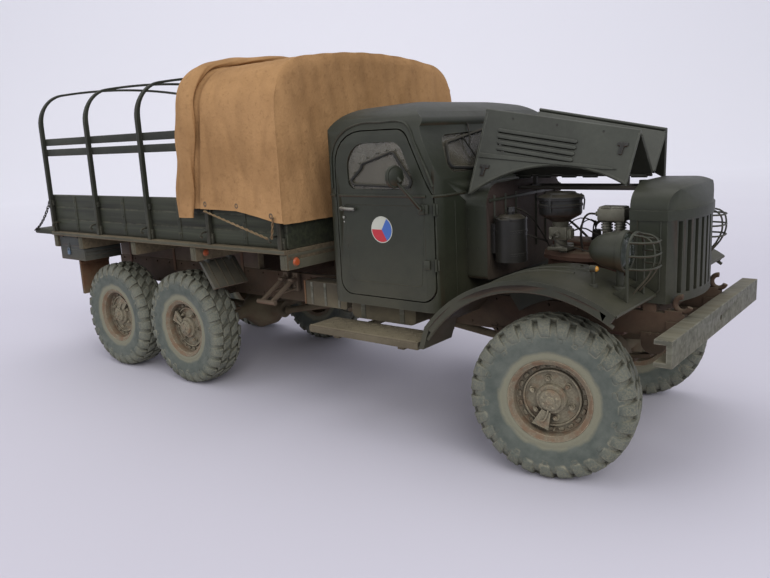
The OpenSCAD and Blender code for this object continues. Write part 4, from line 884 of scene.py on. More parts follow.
piece("fan_and_belt", bm, "truck", BLACK_PAINT)

# ---- Radiator shell ----
# A deep-drawn steel shell with a domed top over a rolled band, nine upright slots, a pressed
# panel on each cheek and the filler cap behind the dome. Dark satin olive, paler on the ridges.
OLIVE = worn(
    "olive paint", srgb(42, 46, 34), srgb(29, 32, 23), chip=srgb(92, 94, 80), chipped=0.4, reach=0.00028,
    below=0.14, low=0.028, high=0.046, on_top=0.05, gloss=0.5, corner_shading=0.8, rusty=0.3
)
piece("radiator_cowl", from_cad("radiator_shell"), "truck", OLIVE, stands_for=["radiator_shell"], smooth=30)
bm = bmesh.new()
CHEEK_Y = 12.62
add_tube(
    bm,
    [
        (11.6, CHEEK_Y, 34.0), (11.6, CHEEK_Y, 46.2), (12.2, CHEEK_Y, 46.9), (15.2, CHEEK_Y, 46.9),
        (15.8, CHEEK_Y, 46.2), (15.8, CHEEK_Y, 34.0), (15.2, CHEEK_Y, 33.2), (12.2, CHEEK_Y, 33.2)
    ], 0.17, sides=8, closed=True, bend=False
)
both_sides(bm)
for y in (12.68, -12.68):
    add_bolts(
        bm, [(10.7, y, 34.4), (10.7, y, 39.4), (10.7, y, 44.4)], (0, 1 if y > 0 else -1, 0), r=0.28, h=0.15
    )
add_bar(bm, (9.4, -3.4, 49.0), (9.4, -3.4, 52.6), 0.7, sides=18)
add_bar(bm, (9.4, -3.4, 49.2), (11.6, -3.4, 48.4), 0.55, sides=12)
add_bar(bm, (9.4, -3.4, 52.2), (9.4, -3.4, 52.9), 1.0, 0.92, sides=12)
piece("radiator_trim", bm, "truck", OLIVE)


# ---- Wings and lamps ----
# One-piece arched wings with two pressed ribs and a rolled edge, rust-brown on the inside, and
# round headlamps on a post behind a welded wire guard whose two legs stand on the wing.
WING_CENTRE_Z, WING_RADIUS = 9.3, 28.5


def wing_point(x, y, lift=0.0):
    """A point on the wing's arched top, lifted off it along its radius."""
    return (x, y, WING_CENTRE_Z + math.sqrt((WING_RADIUS + lift) ** 2 - x * x))


piece("wing_panels", from_cad("wings"), "truck", OLIVE, stands_for=["wings"], smooth=30)
bm = bmesh.new()
for y, start, stop in ((17.6, -19.5, 6.0), (21.4, -20.0, 3.5)):
    rib = [wing_point(x, y, -0.12) for x in [start + (stop - start) * i / 16 for i in range(17)]]
    add_tube(bm, rib, 0.38, sides=8)
lip = [
    (x, 31.62, WING_CENTRE_Z + math.sqrt(26.62 ** 2 - x * x))
    for x in [-22.0 + 37.0 * i / 24 for i in range(25)]
]
add_tube(bm, lip, 0.36, sides=8)
add_tube(bm, [(15.3, 13.3, 33.1), (15.3, 22, 33.1), (15.3, 31.6, 33.1)], 0.3, sides=8)
for x in (-14, -6, 2):
    add_bolts(bm, [wing_point(x, 14.6)], (0, 0, 1), r=0.3, h=0.2)
both_sides(bm)
piece("wing_ribs_and_beads", bm, "truck", OLIVE)

LAMP = Vector((10.4, 20.4, 42.0))
bm = bmesh.new()
FACE_FORWARD = Matrix.Translation(LAMP) @ Matrix.Rotation(math.pi / 2, 4, "Y")
add_lathe(
    bm,
    [
        (0, -4.3), (0.9, -4.2), (1.7, -3.75), (2.4, -2.9), (2.95, -1.6), (3.25, 0), (3.42, 1.5), (3.68, 1.62),
        (3.72, 2.0), (3.66, 2.5), (3.4, 2.65), (3.15, 2.4), (2.9, 1.2), (1.4, -0.8), (0, -1.2),
    ],
    sides=48, place=FACE_FORWARD,
)
add_bar(bm, (11.6, 20.4, 35.1), (11.6, 20.4, 39.4), 0.7, 0.6, sides=14)
add_bar(bm, (11.6, 20.4, 35.0), (11.6, 20.4, 35.9), 1.5, 1.3, sides=20)
HOOP_X = LAMP.x + 3.9
GUARD_HALF = 3.9
arch = [
    (HOOP_X, LAMP.y - GUARD_HALF, 34.1), (HOOP_X, LAMP.y - GUARD_HALF, 38.5),
    (HOOP_X, LAMP.y - GUARD_HALF, 42)
]
arch += [
    (HOOP_X, LAMP.y - GUARD_HALF * math.cos(a), LAMP.z + 3.3 * math.sin(a))
    for a in [math.pi * i / 12 for i in range(1, 12)]
]
arch += [
    (HOOP_X, LAMP.y + GUARD_HALF, 42), (HOOP_X, LAMP.y + GUARD_HALF, 38.5),
    (HOOP_X, LAMP.y + GUARD_HALF, 34.1)
]
add_tube(bm, arch, 0.28, sides=8)
for y in about(LAMP.y, GUARD_HALF):
    foot = bmesh.ops.create_cone(bm, cap_ends=True, segments=3, radius1=1.9, radius2=1.9, depth=0.3)["verts"]
    bmesh.ops.transform(
        bm,
        matrix=Matrix.Translation((
            HOOP_X - 0.8, y, 35.1
        )) @ Matrix.Rotation(math.pi / 2, 4, "X") @ Matrix.Rotation(math.pi / 2, 4, "Z"), verts=foot
    )
    add_bar(bm, (HOOP_X - 0.8, y - 0.28, 35.0), (HOOP_X - 0.8, y + 0.28, 35.0), 0.42, sides=10)
for dz in (-2.4, -0.2, 2.0):
    half = math.sqrt(GUARD_HALF ** 2 - max(0.0, dz) ** 2)
    z, inset = LAMP.z + dz, half * 0.82
    across_guard = [
        (HOOP_X, LAMP.y - half, z), (HOOP_X + 2.8, LAMP.y - inset, z), (HOOP_X + 3.9, LAMP.y, z),
        (HOOP_X + 2.8, LAMP.y + inset, z), (HOOP_X, LAMP.y + half, z),
    ]
    add_tube(bm, across_guard, 0.19, sides=6)
for dy in (-1.5, 1.5):
    y = LAMP.y + dy
    down_guard = [
        (HOOP_X, y, LAMP.z + 3.1), (HOOP_X + 2.9, y, LAMP.z + 2.3), (HOOP_X + 3.7, y, LAMP.z),
        (HOOP_X + 3.2, y, LAMP.z - 2.7), (HOOP_X + 0.2, y, 35.0),
    ]
    add_tube(bm, down_guard, 0.19, sides=6)
foot_z = wing_point(8.7, 25)[2]
add_bar(bm, (8.7, 25, foot_z - 0.3), (8.7, 25, foot_z + 0.35), 0.75, 0.65, sides=16)
add_bar(bm, (8.7, 25, foot_z), (8.7, 25, foot_z + 2.6), 0.32, sides=10)
add_bar(bm, (8.2, 25, foot_z + 3.0), (9.2, 25, foot_z + 3.0), 0.62, sides=16)
both_sides(bm)
piece("headlamps_and_guards", bm, "truck", OLIVE, stands_for=["headlamps"])

LENS, tree, shader = new_material("ribbed lamp glass", Roughness=0.18, Metallic=0.0, IOR=1.45)
at = put(tree, "TexCoord").outputs["Object"]
film = put(tree, "TexNoise", ("Vector", at), ("Scale", 260.0), ("Detail", 4.0)).outputs["Fac"]
tree.links.new(
    blended(tree, ramp(tree, film, 0.3, 0.7), srgb(58, 66, 58), srgb(38, 42, 36)), shader.inputs["Base Color"]
)
flutes = put(tree, "TexWave", ("Vector", at), ("Scale", 190.0), bands_direction="Y").outputs["Fac"]
tree.links.new(
    put(tree, "Bump", ("Strength", 0.5), ("Distance", 0.0002), ("Height", flutes)).outputs[0],
    shader.inputs["Normal"]
)
bm = bmesh.new()
add_lathe(
    bm,
    [
        (3.2, 1.9), (3.25, 2.35), (2.6, 2.75), (1.4, 3.05), (0, 3.15), (0, 2.6), (1.4, 2.5), (2.6, 2.2),
        (3.2, 1.9)
    ], sides=40, place=FACE_FORWARD
)
both_sides(bm)
piece("headlamp_lenses", bm, "truck", LENS)
AMBER, tree, shader = new_material("amber lens", Roughness=0.3)
at = put(tree, "TexCoord").outputs["Object"]
film = put(tree, "TexNoise", ("Vector", at), ("Scale", 700.0), ("Detail", 4.0)).outputs["Fac"]
tree.links.new(
    blended(tree, ramp(tree, film, 0.35, 0.7), srgb(214, 150, 40), srgb(150, 112, 56)),
    shader.inputs["Base Color"]
)
bm = bmesh.new()
add_lathe(
    bm, [(0, 0.3), (0.5, 0.3), (0.5, 0.6), (0.3, 0.85), (0, 0.92)], sides=18,
    place=turned_at((8.7, 25, foot_z + 3.0), math.pi / 2, "Y")
)
both_sides(bm)
piece("marker_lenses", bm, "truck", AMBER)

# ---- Cab ----
# A rounded all-steel cab: a waist bead right round it, gutters over the doors, a split windscreen
# in rubber, and a narrower cowl in front whose firewall is brown inside. A black canister is
# strapped to the firewall.
CAB_SIDE = 27.0


def side_y(z):
    """How far out the cab's side is at a height: straight, then bent in under the roof."""
    return CAB_SIDE if z < 62.24 else 20 + math.sqrt(max(0.0, 49 - (z - 62.24) ** 2))


def rounded(corners, steps=6):
    """The points of an outline whose corners (a, b, radius) are each rounded by an arc."""
    found = []
    for i, (a, b, r) in enumerate(corners):
        here = Vector((a, b))
        back, on = Vector(corners[i - 1][:2]) - here, Vector(corners[(i + 1) % len(corners)][:2]) - here
        back.normalize()
        on.normalize()
        half = math.acos(max(-1.0, min(1.0, back.dot(on)))) / 2
        if r <= 0:
            found.append(here)
            continue
        middle = here + (back + on).normalized() * r / math.sin(half)
        start, stop = here + back * r / math.tan(half) - middle, here + on * r / math.tan(half) - middle
        for k in range(steps + 1):
            found.append(middle + start.slerp(stop, k / steps))
    return found


def evenly(points, spacing):
    """Points at an even spacing round a closed outline."""
    loop = points + [points[0]]
    lengths = [(b - a).length for a, b in zip(loop, loop[1:])]
    count = max(3, round(sum(lengths) / spacing))
    step, spots, gone, k = sum(lengths) / count, [], 0.0, 0
    for i in range(count):
        while k < len(lengths) - 1 and gone + lengths[k] < i * step:
            gone += lengths[k]
            k += 1
        spots.append(loop[k].lerp(loop[k + 1], (i * step - gone) / max(lengths[k], 1e-9)))
    return spots


FIREWALL = worn(
    "firewall paint", srgb(62, 49, 42), srgb(40, 32, 28), chip=srgb(92, 80, 66), chipped=0.35, below=0.15,
    low=0.03, high=0.05, gloss=0.75, rusty=0.2, bump=0.4
)
cab = from_cad("cab_shell")
for face in cab.faces:
    spot = face.calc_center_median()
    if -17.3 < spot.x < -10 and -17 < spot.y < -9 and 37 < spot.z < 48.5:
        face.material_index = 1
    elif spot.x > -19 and abs(spot.y) < 16.2 and abs(face.normal.x) > 0.7 and spot.z < 53:
        face.material_index = 2
piece("cab_body", cab, "truck", OLIVE, BLACK_PAINT, FIREWALL, stands_for=["cab_shell"], smooth=30)

WAIST_Z = 51.5
bm = bmesh.new()
plan = [(-22.2, 16.8), (-22.2, 22), (-22.25, 24.2), (-23.0, 26.2), (-23.15, 26.9)]
add_tube(bm, [(x, y, WAIST_Z) for x, y in plan], 0.32, sides=8)
plan = [(-48.1, 27), (-49.4, 26.7), (-50.7, 25.3), (-51.2, 23.2), (-51.2, 12), (-51.2, 0.0)]
add_tube(bm, [(x, y, WAIST_Z) for x, y in plan], 0.32, sides=8)
gutter = [
    (-22.95, 53.4), (-24.2, 56.4), (-26.8, 61.7), (-28.3, 64.6), (-30.4, 65.9), (-36, 66.1), (-42.4, 65.9),
    (-46.2, 64.0), (-48.5, 60.6), (-48.9, 56.0), (-48.95, 53.0)
]
add_tube(bm, [(x, side_y(z) + 0.04, z) for x, z in gutter], 0.26, sides=8)
for z in (49.0, 38.0):
    add_bar(bm, (-22.75, 26.95, z - 1.2), (-22.75, 26.95, z + 1.2), 0.26, sides=10)
    add_box(bm, (-22.5, -22.0), (26.5, 26.9), about(z, 1.0), bevel=0.1)
for x in (-21.6, -19.6):
    add_bolts(bm, [(x, 16.6, z) for z in (36, 40, 44, 48)], (0, 1, 0), r=0.2, h=0.1)
add_tube(bm, [(-22.3, 20.5, 29.2), (-22.3, 20.5, 50.2)], 0.14, sides=6)
both_sides(bm)
for y in (-13.5, -9.0, -4.5, 4.5, 9.0, 13.5):
    add_tube(bm, [(-17.35, y, 40.5 if abs(y) > 10 else 38), (-17.35, y, 50.6)], 0.26, sides=6)
add_box(bm, (-17.5, -17.1), (-15.6, 15.6), (49.4, 50.0), bevel=0.12)
piece("cab_beads_and_hinges", bm, "truck", OLIVE)

bm = bmesh.new()
can = Matrix.Translation((-13.9, -13, 0))
for z in (39.0, 43.6):
    add_lathe(
        bm, [(3.15, z - 0.25), (3.27, z - 0.22), (3.27, z + 0.22), (3.15, z + 0.25), (3.1, z)], sides=40,
        place=can
    )
add_lathe(bm, [(3.1, 45.6), (3.26, 45.75), (3.26, 46.1), (3.1, 46.3), (3.0, 45.9)], sides=40, place=can)
add_bar(bm, (-13.9, -13, 47.4), (-13.9, -13, 48.3), 0.85, 0.7, sides=6)
add_bar(bm, (-16, -10.2, 43.6), (-15.0, -9.6, 43.6), 0.3, sides=8)
for v in bm.verts:
    v.co.y = max(v.co.y, -15.9)
piece("canister_straps", bm, "truck", BLACK_PAINT)

SEAL = worn(
    "window rubber", srgb(42, 43, 40), srgb(24, 24, 22), chip=srgb(70, 70, 62), chipped=0.3, below=0.2,
    on_top=0.3, gloss=0.7, rusty=0.0, bump=0.2
)


def screen_x(z):
    """The leaning windscreen's place at a height."""
    return -22.2 - 3.8 * (z - 54.5) / 9.8


bm = bmesh.new()
pane = rounded([(0.8, 55.7, 0.6), (21.6, 55.7, 2.0), (20.4, 63.1, 2.5), (0.8, 63.7, 0.6)], 5)
add_tube(bm, [(screen_x(z), y, z) for y, z in pane], 0.34, sides=8, closed=True, bend=False)
both_sides(bm)
back = rounded([(-9, 54, 2.5), (9, 54, 2.5), (9, 62, 2.5), (-9, 62, 2.5)], 5)
add_tube(bm, [(-51.2, y, z) for y, z in back], 0.34, sides=8, closed=True, bend=False)
for y in (-9.5, 12.0):
    add_bar(bm, (screen_x(65.2) - 0.9, y, 65.2), (screen_x(65.2) + 0.6, y, 65.0), 0.45, 0.3, sides=12)
    add_tube(
        bm,
        [
            (screen_x(65) + 0.5, y, 65.0), (screen_x(62.5) + 0.75, y - 1.2, 62.5),
            (screen_x(60.6) + 0.55, y - 2.2, 60.6)
        ], 0.16, sides=6
    )
    add_tube(
        bm, [(screen_x(62.4) + 0.42, y - 3.4, 62.4), (screen_x(58.4) + 0.42, y - 1.1, 58.4)], 0.2, sides=6
    )
piece("screen_rubbers_and_wipers", bm, "truck", SEAL)


def dusty_glass(name, clear, dirty):
    """Thin glass under a film of dust: how solid the film is runs between two shares."""
    made, tree, shader = new_material(name, Roughness=0.12, IOR=1.45, Specular_IOR_Level=0.6)
    at = put(tree, "TexCoord").outputs["Object"]
    film = put(
        tree, "TexNoise", ("Vector", at), ("Scale", 110.0), ("Detail", 6.0), ("Roughness", 0.6)
    ).outputs["Fac"]
    rim = group(tree, corner_occlusion, Reach=0.0022, Amount=1.0)["Mask"]
    solid = sums(
        tree, "ADD", ramp(tree, film, 0.32, 0.68, clear, dirty), sums(tree, "MULTIPLY", rim, 0.35), True
    )
    tree.links.new(solid, shader.inputs["Alpha"])
    tree.links.new(
        blended(tree, ramp(tree, film, 0.3, 0.7), srgb(84, 82, 74), srgb(112, 108, 94)),
        shader.inputs["Base Color"]
    )
    return made


SIDE_GLASS = dusty_glass("dusty side glass", 0.42, 0.66)
SCREEN_GLASS = dusty_glass("dusty screen glass", 0.12, 0.34)
piece("screen_panes", from_cad("cab_glass"), "truck", SCREEN_GLASS, stands_for=["cab_glass"], smooth=20)

# ---- Doors ----
# Steel doors hung on outside hinges at the front, each with a fixed pane in rubber held by a ring
# of small screws, a pull handle with a lock under it, a round mirror and a three-colour disc.
CHROME_WORN = worn(
    "worn bright metal", srgb(150, 150, 142), srgb(96, 96, 88), chip=srgb(190, 190, 184), chipped=0.5,
    below=0.2, on_top=0.2, gloss=0.35, metal=0.7, rusty=0.2, bump=0.2
)
MARK_WHITE, MARK_BLUE, MARK_RED = [
    worn(
        f"{tone} mark", srgb(*light), srgb(*dark), chip=srgb(*chip), chipped=0.3, below=0.2, gloss=0.5,
        rusty=0, bump=0.1
    )
    for tone, light, dark, chip in (
        ("white", (196, 198, 186), (172, 174, 162), (120, 122, 110)),
        ("blue", (66, 104, 176), (54, 90, 158), (110, 130, 170)),
        ("red", (186, 44, 58), (164, 36, 50), (180, 90, 90)),
    )
]
WINDOW = [(-26.8, 52.8, 1.5), (-30.8, 62.2, 3), (-44.9, 62.2, 5), (-44.4, 52.8, 2)]
DISC_AT = Vector((-36.0, 0, 44.6))
DISC_RADIUS = 2.75
for side, sign in (("right", -1), ("left", 1)):
    body = f"door_{side}_body"
    piece(f"door_panel_{side}", from_cad(f"door_{side}"), body, OLIVE, stands_for=[f"door_{side}"], smooth=30)
    piece(
        f"door_pane_{side}", from_cad(f"door_glass_{side}"), body, SIDE_GLASS,
        stands_for=[f"door_glass_{side}"], smooth=20
    )
    bm = bmesh.new()
    outline = rounded(WINDOW, 6)
    add_tube(bm, [(p.x, sign * CAB_SIDE, p.y) for p in outline], 0.3, sides=8, closed=True, bend=False)
    piece(f"door_window_rubber_{side}", bm, body, SEAL)
    bm = bmesh.new()
    middle = sum(outline, Vector((0, 0))) / len(outline)
    for p in evenly(outline, 2.1):
        q = p + (p - middle).normalized() * 0.85
        add_bar(bm, (q.x, sign * 26.9, q.y), (q.x, sign * 27.12, q.y), 0.17, 0.12, sides=8)
    add_tube(
        bm,
        [
            (-47.2, sign * CAB_SIDE, WAIST_Z), (-35, sign * CAB_SIDE, WAIST_Z),
            (-24.7, sign * CAB_SIDE, WAIST_Z)
        ], 0.32, sides=8
    )
    pressing = rounded([(-24.6, 50.2, 1.6), (-46.6, 50.2, 1.6), (-46.6, 31.8, 2.6), (-24.6, 31.8, 2.6)], 5)
    add_tube(bm, [(p.x, sign * 26.96, p.y) for p in pressing], 0.1, sides=6, closed=True, bend=False)
    for z in (49.0, 38.0):
        add_box(
            bm, (-25.6, -24.1), sorted((sign * 26.98, sign * 27.28)), about(z, 0.9),
            bevel=0.1
        )
        add_bolts(bm, [(-24.45, sign * 27.2, z), (-25.2, sign * 27.2, z)], (0, sign, 0), r=0.17, h=0.12)
    piece(f"door_trim_{side}", bm, body, OLIVE)
    bm = bmesh.new()
    add_tube(
        bm, [(-46.5, sign * 27.75, 48.85), (-44.9, sign * 27.95, 48.8), (-42.6, sign * 27.7, 48.7)], 0.34,
        sides=10
    )
    add_bar(bm, (-46.1, sign * 26.9, 48.8), (-46.1, sign * 27.8, 48.8), 0.5, 0.42, sides=14)
    add_bar(bm, (-46.1, sign * 26.95, 46.9), (-46.1, sign * 27.25, 46.9), 0.36, 0.3, sides=14)
    add_bar(bm, (-46.1, sign * 26.95, 45.9), (-46.1, sign * 27.15, 45.9), 0.18, sides=8)
    piece(f"door_handle_{side}", bm, body, CHROME_WORN)
    bm = bmesh.new()
    face = turned_at((-29.2, sign * 30.6, 55.6), math.radians(-90), "Y")
    face = face @ Matrix.Rotation(math.radians(sign * 12), 4, "X")
    add_lathe(
        bm,
        [
            (0, -0.75), (0.5, -0.72), (1.4, -0.5), (2.0, -0.2), (2.2, 0.1), (2.2, 0.38), (2.0, 0.4),
            (1.95, 0.22), (0, 0.22)
        ], sides=36, place=face
    )
    add_bar(bm, (-28.8, sign * 30.5, 55.5), (-28.2, sign * 30.2, 54.6), 0.42, sides=10)
    add_box(
        bm, (-26.3, -24.9), (sign * CAB_SIDE - 0.2, sign * CAB_SIDE + 0.5) if sign > 0 else (-27.5, -26.8),
        (48.0, 50.0), bevel=0.15
    )
    piece(f"door_mirror_{side}", bm, body, OLIVE)
    bm = bmesh.new()
    for radius, lift in ((DISC_RADIUS, 0.02), (DISC_RADIUS - 0.18, 0.045)):
        rim = bmesh.ops.create_cone(
            bm, cap_ends=True, cap_tris=True, segments=48, radius1=radius, radius2=radius, depth=0.06
        )["verts"]
        bmesh.ops.transform(
            bm,
            matrix=Matrix.Translation((
                DISC_AT.x, sign * (CAB_SIDE + lift), DISC_AT.z
            )) @ Matrix.Rotation(math.pi / 2, 4, "X"), verts=rim
        )
        if lift > 0.03:
            for face in {f for v in rim for f in v.link_faces}:
                spot = face.calc_center_median()
                turn = math.degrees(math.atan2(
                    spot.z - DISC_AT.z, (spot.x - DISC_AT.x) * (1 if sign < 0 else -1)
                )) % 360
                face.material_index = 0 if 60 < turn < 180 else 2 if 180 <= turn < 300 else 1
    piece(f"door_disc_{side}", bm, body, MARK_WHITE, MARK_BLUE, MARK_RED, smooth=0)

# ---- Bonnet ----
# Two folding halves hinged on one long pin: each is a flat top panel and a side panel with four
# long louvres, a pressed spear, a rolled arched lower edge and two turn-latches. Both stand open.
GREY_OLIVE = worn(
    "bonnet paint", srgb(68, 71, 63), srgb(46, 48, 42), chip=srgb(112, 114, 100), chipped=0.5, reach=0.0003,
    below=0.1, low=0.04, high=0.06, on_top=0.05, under=srgb(36, 35, 30), rusty=0.5, gloss=0.44, corner_shading=0.85,
    corner=0.002, bump=0.35
)
LATCH_DARK = worn(
    "dark latch", srgb(42, 42, 38), srgb(26, 26, 24), chip=srgb(90, 90, 82), chipped=0.5, on_top=0.05,
    gloss=0.5
)
RAISED = Matrix.Translation((0, 0, 53.6)) @ Matrix.Rotation(math.radians(50), 4, "X")
PANEL = RAISED @ Matrix.Translation((-19.8, 18.1, 0)) @ Matrix.Rotation(
    math.radians(-13.63), 4, "Z"
) @ Matrix.Rotation(math.radians(-120.7), 4, "X")


def mirrored(bm):
    """Turns a left-hand piece into the right-hand one."""
    bmesh.ops.scale(bm, vec=(1, -1, 1), verts=bm.verts)
    bmesh.ops.reverse_faces(bm, faces=bm.faces)


def add_plate(bm, outline, low, high, place=None, ease=0.0):
    """A flat plate cut to an outline in its own plane, between two heights above it."""
    part = bmesh.new()
    face = part.faces.new([part.verts.new((*p[:2], low)) for p in outline])
    raised = bmesh.ops.extrude_face_region(part, geom=[face])["geom"]
    bmesh.ops.translate(
        part, vec=(0, 0, high - low), verts=[g for g in raised if isinstance(g, bmesh.types.BMVert)]
    )
    bmesh.ops.recalc_face_normals(part, faces=part.faces)
    if ease:
        bmesh.ops.bevel(
            part, geom=part.edges[:], offset=ease, segments=2, profile=0.5, affect="EDGES", clamp_overlap=True
        )
    if place:
        bmesh.ops.transform(part, matrix=place, verts=part.verts)
    absorb(bm, part)


def lower_edge(u):
    """How far down the bonnet's side reaches: straight, then arched over the wing."""
    return min(17.4, 35.2 - math.sqrt(26.7 ** 2 - (u - 21) ** 2))


for side in ("right", "left"):
    piece(
        f"bonnet_top_{side}_sheet", from_cad(f"bonnet_top_{side}"), f"bonnet_top_{side}_body", GREY_OLIVE,
        stands_for=[f"bonnet_top_{side}"]
    )
    bm = bmesh.new()
    for y in (1.6, 10.2):
        add_tube(bm, [RAISED @ Vector((9.75, y, 0)), RAISED @ Vector((9.75, y + 0.2, 0))], 0.3)
    add_tube(bm, [RAISED @ Vector((9.7, 0.9, 0)), RAISED @ Vector((9.7, 10.0, 0))], 0.38)
    add_tube(bm, [RAISED @ Vector((-19.6, 0.9, 0)), RAISED @ Vector((-19.6, 17.0, 0))], 0.38)
    if side == "right":
        mirrored(bm)
    piece(f"bonnet_top_{side}_hems", bm, f"bonnet_top_{side}_body", GREY_OLIVE)
    piece(
        f"bonnet_side_{side}_sheet", from_cad(f"bonnet_side_{side}"), f"bonnet_side_{side}_body", GREY_OLIVE,
        stands_for=[f"bonnet_side_{side}"], smooth=30
    )
    bm = bmesh.new()
    for v in (4, 5.2, 6.4, 7.6):
        hood = [
            (3 + 0.2 * v, v - 0.62), (19.6, v - 0.62), (19.9, v - 0.2), (19.5, v + 0.12),
            (3.2 + 0.2 * v, v + 0.12), (2.8 + 0.2 * v, v - 0.2)
        ]
        add_plate(bm, hood, 0.2, 0.75, PANEL, ease=0.16)
    add_plate(
        bm, [(1.2, 8.75), (19.6, 7.8), (26, 7.45), (28.3, 7.72), (26, 8.1), (19.6, 8.45), (1.2, 9.75)], 0.2,
        0.62, PANEL, ease=0.12
    )
    add_tube(
        bm,
        [PANEL @ Vector((u, lower_edge(u) - 0.25, 0.12)) for u in [1.2 + 29.2 * i / 20 for i in range(21)]],
        0.36
    )
    add_tube(
        bm, [PANEL @ Vector((30.3, 0.4, 0.1)), PANEL @ Vector((30.3, lower_edge(30.3) - 0.3, 0.1))], 0.34
    )
    add_tube(bm, [PANEL @ Vector((0.5, 0.4, 0.1)), PANEL @ Vector((1.2, 16.9, 0.1))], 0.34)
    if side == "right":
        mirrored(bm)
    piece(f"bonnet_side_{side}_pressings", bm, f"bonnet_side_{side}_body", GREY_OLIVE)
    bm = bmesh.new()
    for u, v in ((28.1, 3.0), (2.9, 11.4)):
        add_plate(
            bm,
            [
                (u - 0.95, v - 0.35), (u + 0.95, v - 0.5), (u + 0.95, v + 0.2), (u + 0.3, v + 0.3),
                (u + 0.25, v + 1.9), (u - 0.45, v + 1.9), (u - 0.4, v + 0.3), (u - 0.95, v + 0.3)
            ], 0.3, 0.72, PANEL, ease=0.1
        )
        add_bar(bm, PANEL @ Vector((u, v - 0.1, 0.3)), PANEL @ Vector((u, v - 0.1, 0.8)), 0.3, sides=10)
    for u in (6, 15, 24):
        add_bolts(bm, [PANEL @ Vector((u, 1.0, 0.3))], PANEL.to_3x3() @ Vector((0, 0, 1)), r=0.22, h=0.16)
    if side == "right":
        mirrored(bm)
    piece(f"bonnet_side_{side}_latches", bm, f"bonnet_side_{side}_body", LATCH_DARK)

# ---- Cab interior ----
# A flat steel floor, a box under the seat, a painted dashboard with three dials, a gear lever and
# three pedals, and one bench seat whose cushion and back are stuffed leathercloth with sewn channels.
CABIN_GREEN = worn(
    "cabin paint", srgb(64, 68, 56), srgb(42, 45, 37), below=0.2, low=0.03, high=0.034, on_top=0.35,
    gloss=0.6, rusty=0.1
)
LEATHER = worn(
    "brown leathercloth", srgb(78, 56, 40), srgb(48, 34, 25), chip=srgb(120, 94, 68), chipped=0.5, below=0.1,
    on_top=0.25, gloss=0.55, rusty=0.0, corner_shading=0.9, bump=0.6, size=1500
)
BLACK_ENAMEL = worn(
    "steering wheel enamel", srgb(34, 34, 33), srgb(20, 20, 20), chip=srgb(74, 72, 66), chipped=0.4,
    on_top=0.15, gloss=0.36
)
DIAL_WHITE = worn("dial faces", srgb(188, 186, 172), srgb(158, 154, 138), chipped=0.2, on_top=0.1, gloss=0.4)
bm = bmesh.new()
floor_outline = [
    (-49.8, -22.4), (-46.6, -25.6), (-26.8, -25.6), (-23.6, -22.4), (-23.6, 22.4), (-26.8, 25.6),
    (-46.6, 25.6), (-49.8, 22.4)
]
add_plate(bm, floor_outline, 31.5, 32.5)
for i in range(14):
    add_box(bm, (-35.8, -24.6), (-23.6 + 3.5 * i, -22.8 + 3.5 * i), (32.4, 32.62), bevel=0.06)
add_box(bm, (-49.3, -37.3), (-22.2, 22.2), (32.4, 37.4), bevel=0.3)
add_box(bm, (-26.5, -23.8), (-21.6, 21.6), (46.1, 51.3), bevel=0.6)
for y in (-20.9, 20.9):
    add_box(bm, (-26.4, -24.5), about(y, 0.6), (32.4, 47), bevel=0.15)
add_box(bm, (-26.75, -26.3), (-17.6, -8.2), (46.9, 50.5), bevel=0.12)
piece("cab_floor_and_dash", bm, "truck", CABIN_GREEN, stands_for=["cab_interior"])
bm = bmesh.new()
for y in (7.4, 11.6, 15.8):
    add_lathe(
        bm, [(0, 0.3), (1.3, 0.3), (1.55, 0.45), (1.55, -0.2), (0, -0.2)], sides=24,
        place=turned_at((-26.6, y, 49.0), -math.pi / 2, "Y")
    )
add_bar(bm, (-30, 1.5, 32.4), (-33.4, 1.0, 41.6), 0.28, sides=10)
add_lathe(
    bm, [(0, -0.7), (0.6, -0.4), (0.75, 0.1), (0.5, 0.6), (0, 0.75)], sides=14,
    place=Matrix.Translation((-33.5, 1.0, 41.8))
)
for y in (8.0, 11.2, 14.4):
    add_bar(bm, (-25.0, y, 33), (-27.3, y, 35.6), 0.25, sides=8)
    add_box(bm, (-28.0, -27.0), about(y, 0.9), (35.2, 36.6), bevel=0.15)
piece("dials_lever_and_pedals", bm, "truck", BLACK_ENAMEL)
bm = bmesh.new()
for y in (7.4, 11.6, 15.8):
    add_bar(bm, (-26.88, y, 49.0), (-26.95, y, 49.0), 1.15, sides=20)
piece("dial_faces", bm, "truck", DIAL_WHITE)


def stuffed(name, low, high, across, crown, pull):
    """A stuffed pad of upright channels: crowned, drawn in at its seams, flat where it rests."""
    bm = bmesh.new()
    columns, rows = 11 * 6, 14
    ring = []
    for i in range(columns + 1):
        y = -across + 2 * across * i / columns
        seam = abs(math.sin(math.pi * i / 6))
        tuck = 1 - pull * (1 - seam ** 0.6)
        end = min(1.0, (1 - abs(y) / across) * 9 + 0.3)
        loop = []
        for k in range(4 * rows):
            a = math.tau * k / (4 * rows)
            c, s = math.cos(a), math.sin(a)
            c, s = math.copysign(abs(c) ** 0.42, c), math.copysign(abs(s) ** 0.42, s)
            x = (low[0] + high[0]) / 2 + (high[0] - low[0]) / 2 * c * (
                tuck if c > 0 or crown == "up" else 1
            ) * (0.9 + 0.1 * end)
            z = (low[1] + high[1]) / 2 + (high[1] - low[1]) / 2 * s * (
                tuck if s > 0 else 1
            ) * (0.84 + 0.16 * end)
            loop.append(bm.verts.new((x, y, z)))
        ring.append(loop)
    for a, b in zip(ring, ring[1:]):
        for k in range(len(a)):
            bm.faces.new((a[k], a[k - 1], b[k - 1], b[k]))
    bm.faces.new(ring[0])
    bm.faces.new(list(reversed(ring[-1])))
    bmesh.ops.recalc_face_normals(bm, faces=bm.faces)
    return piece(name, bm, "truck", LEATHER, smooth=60)


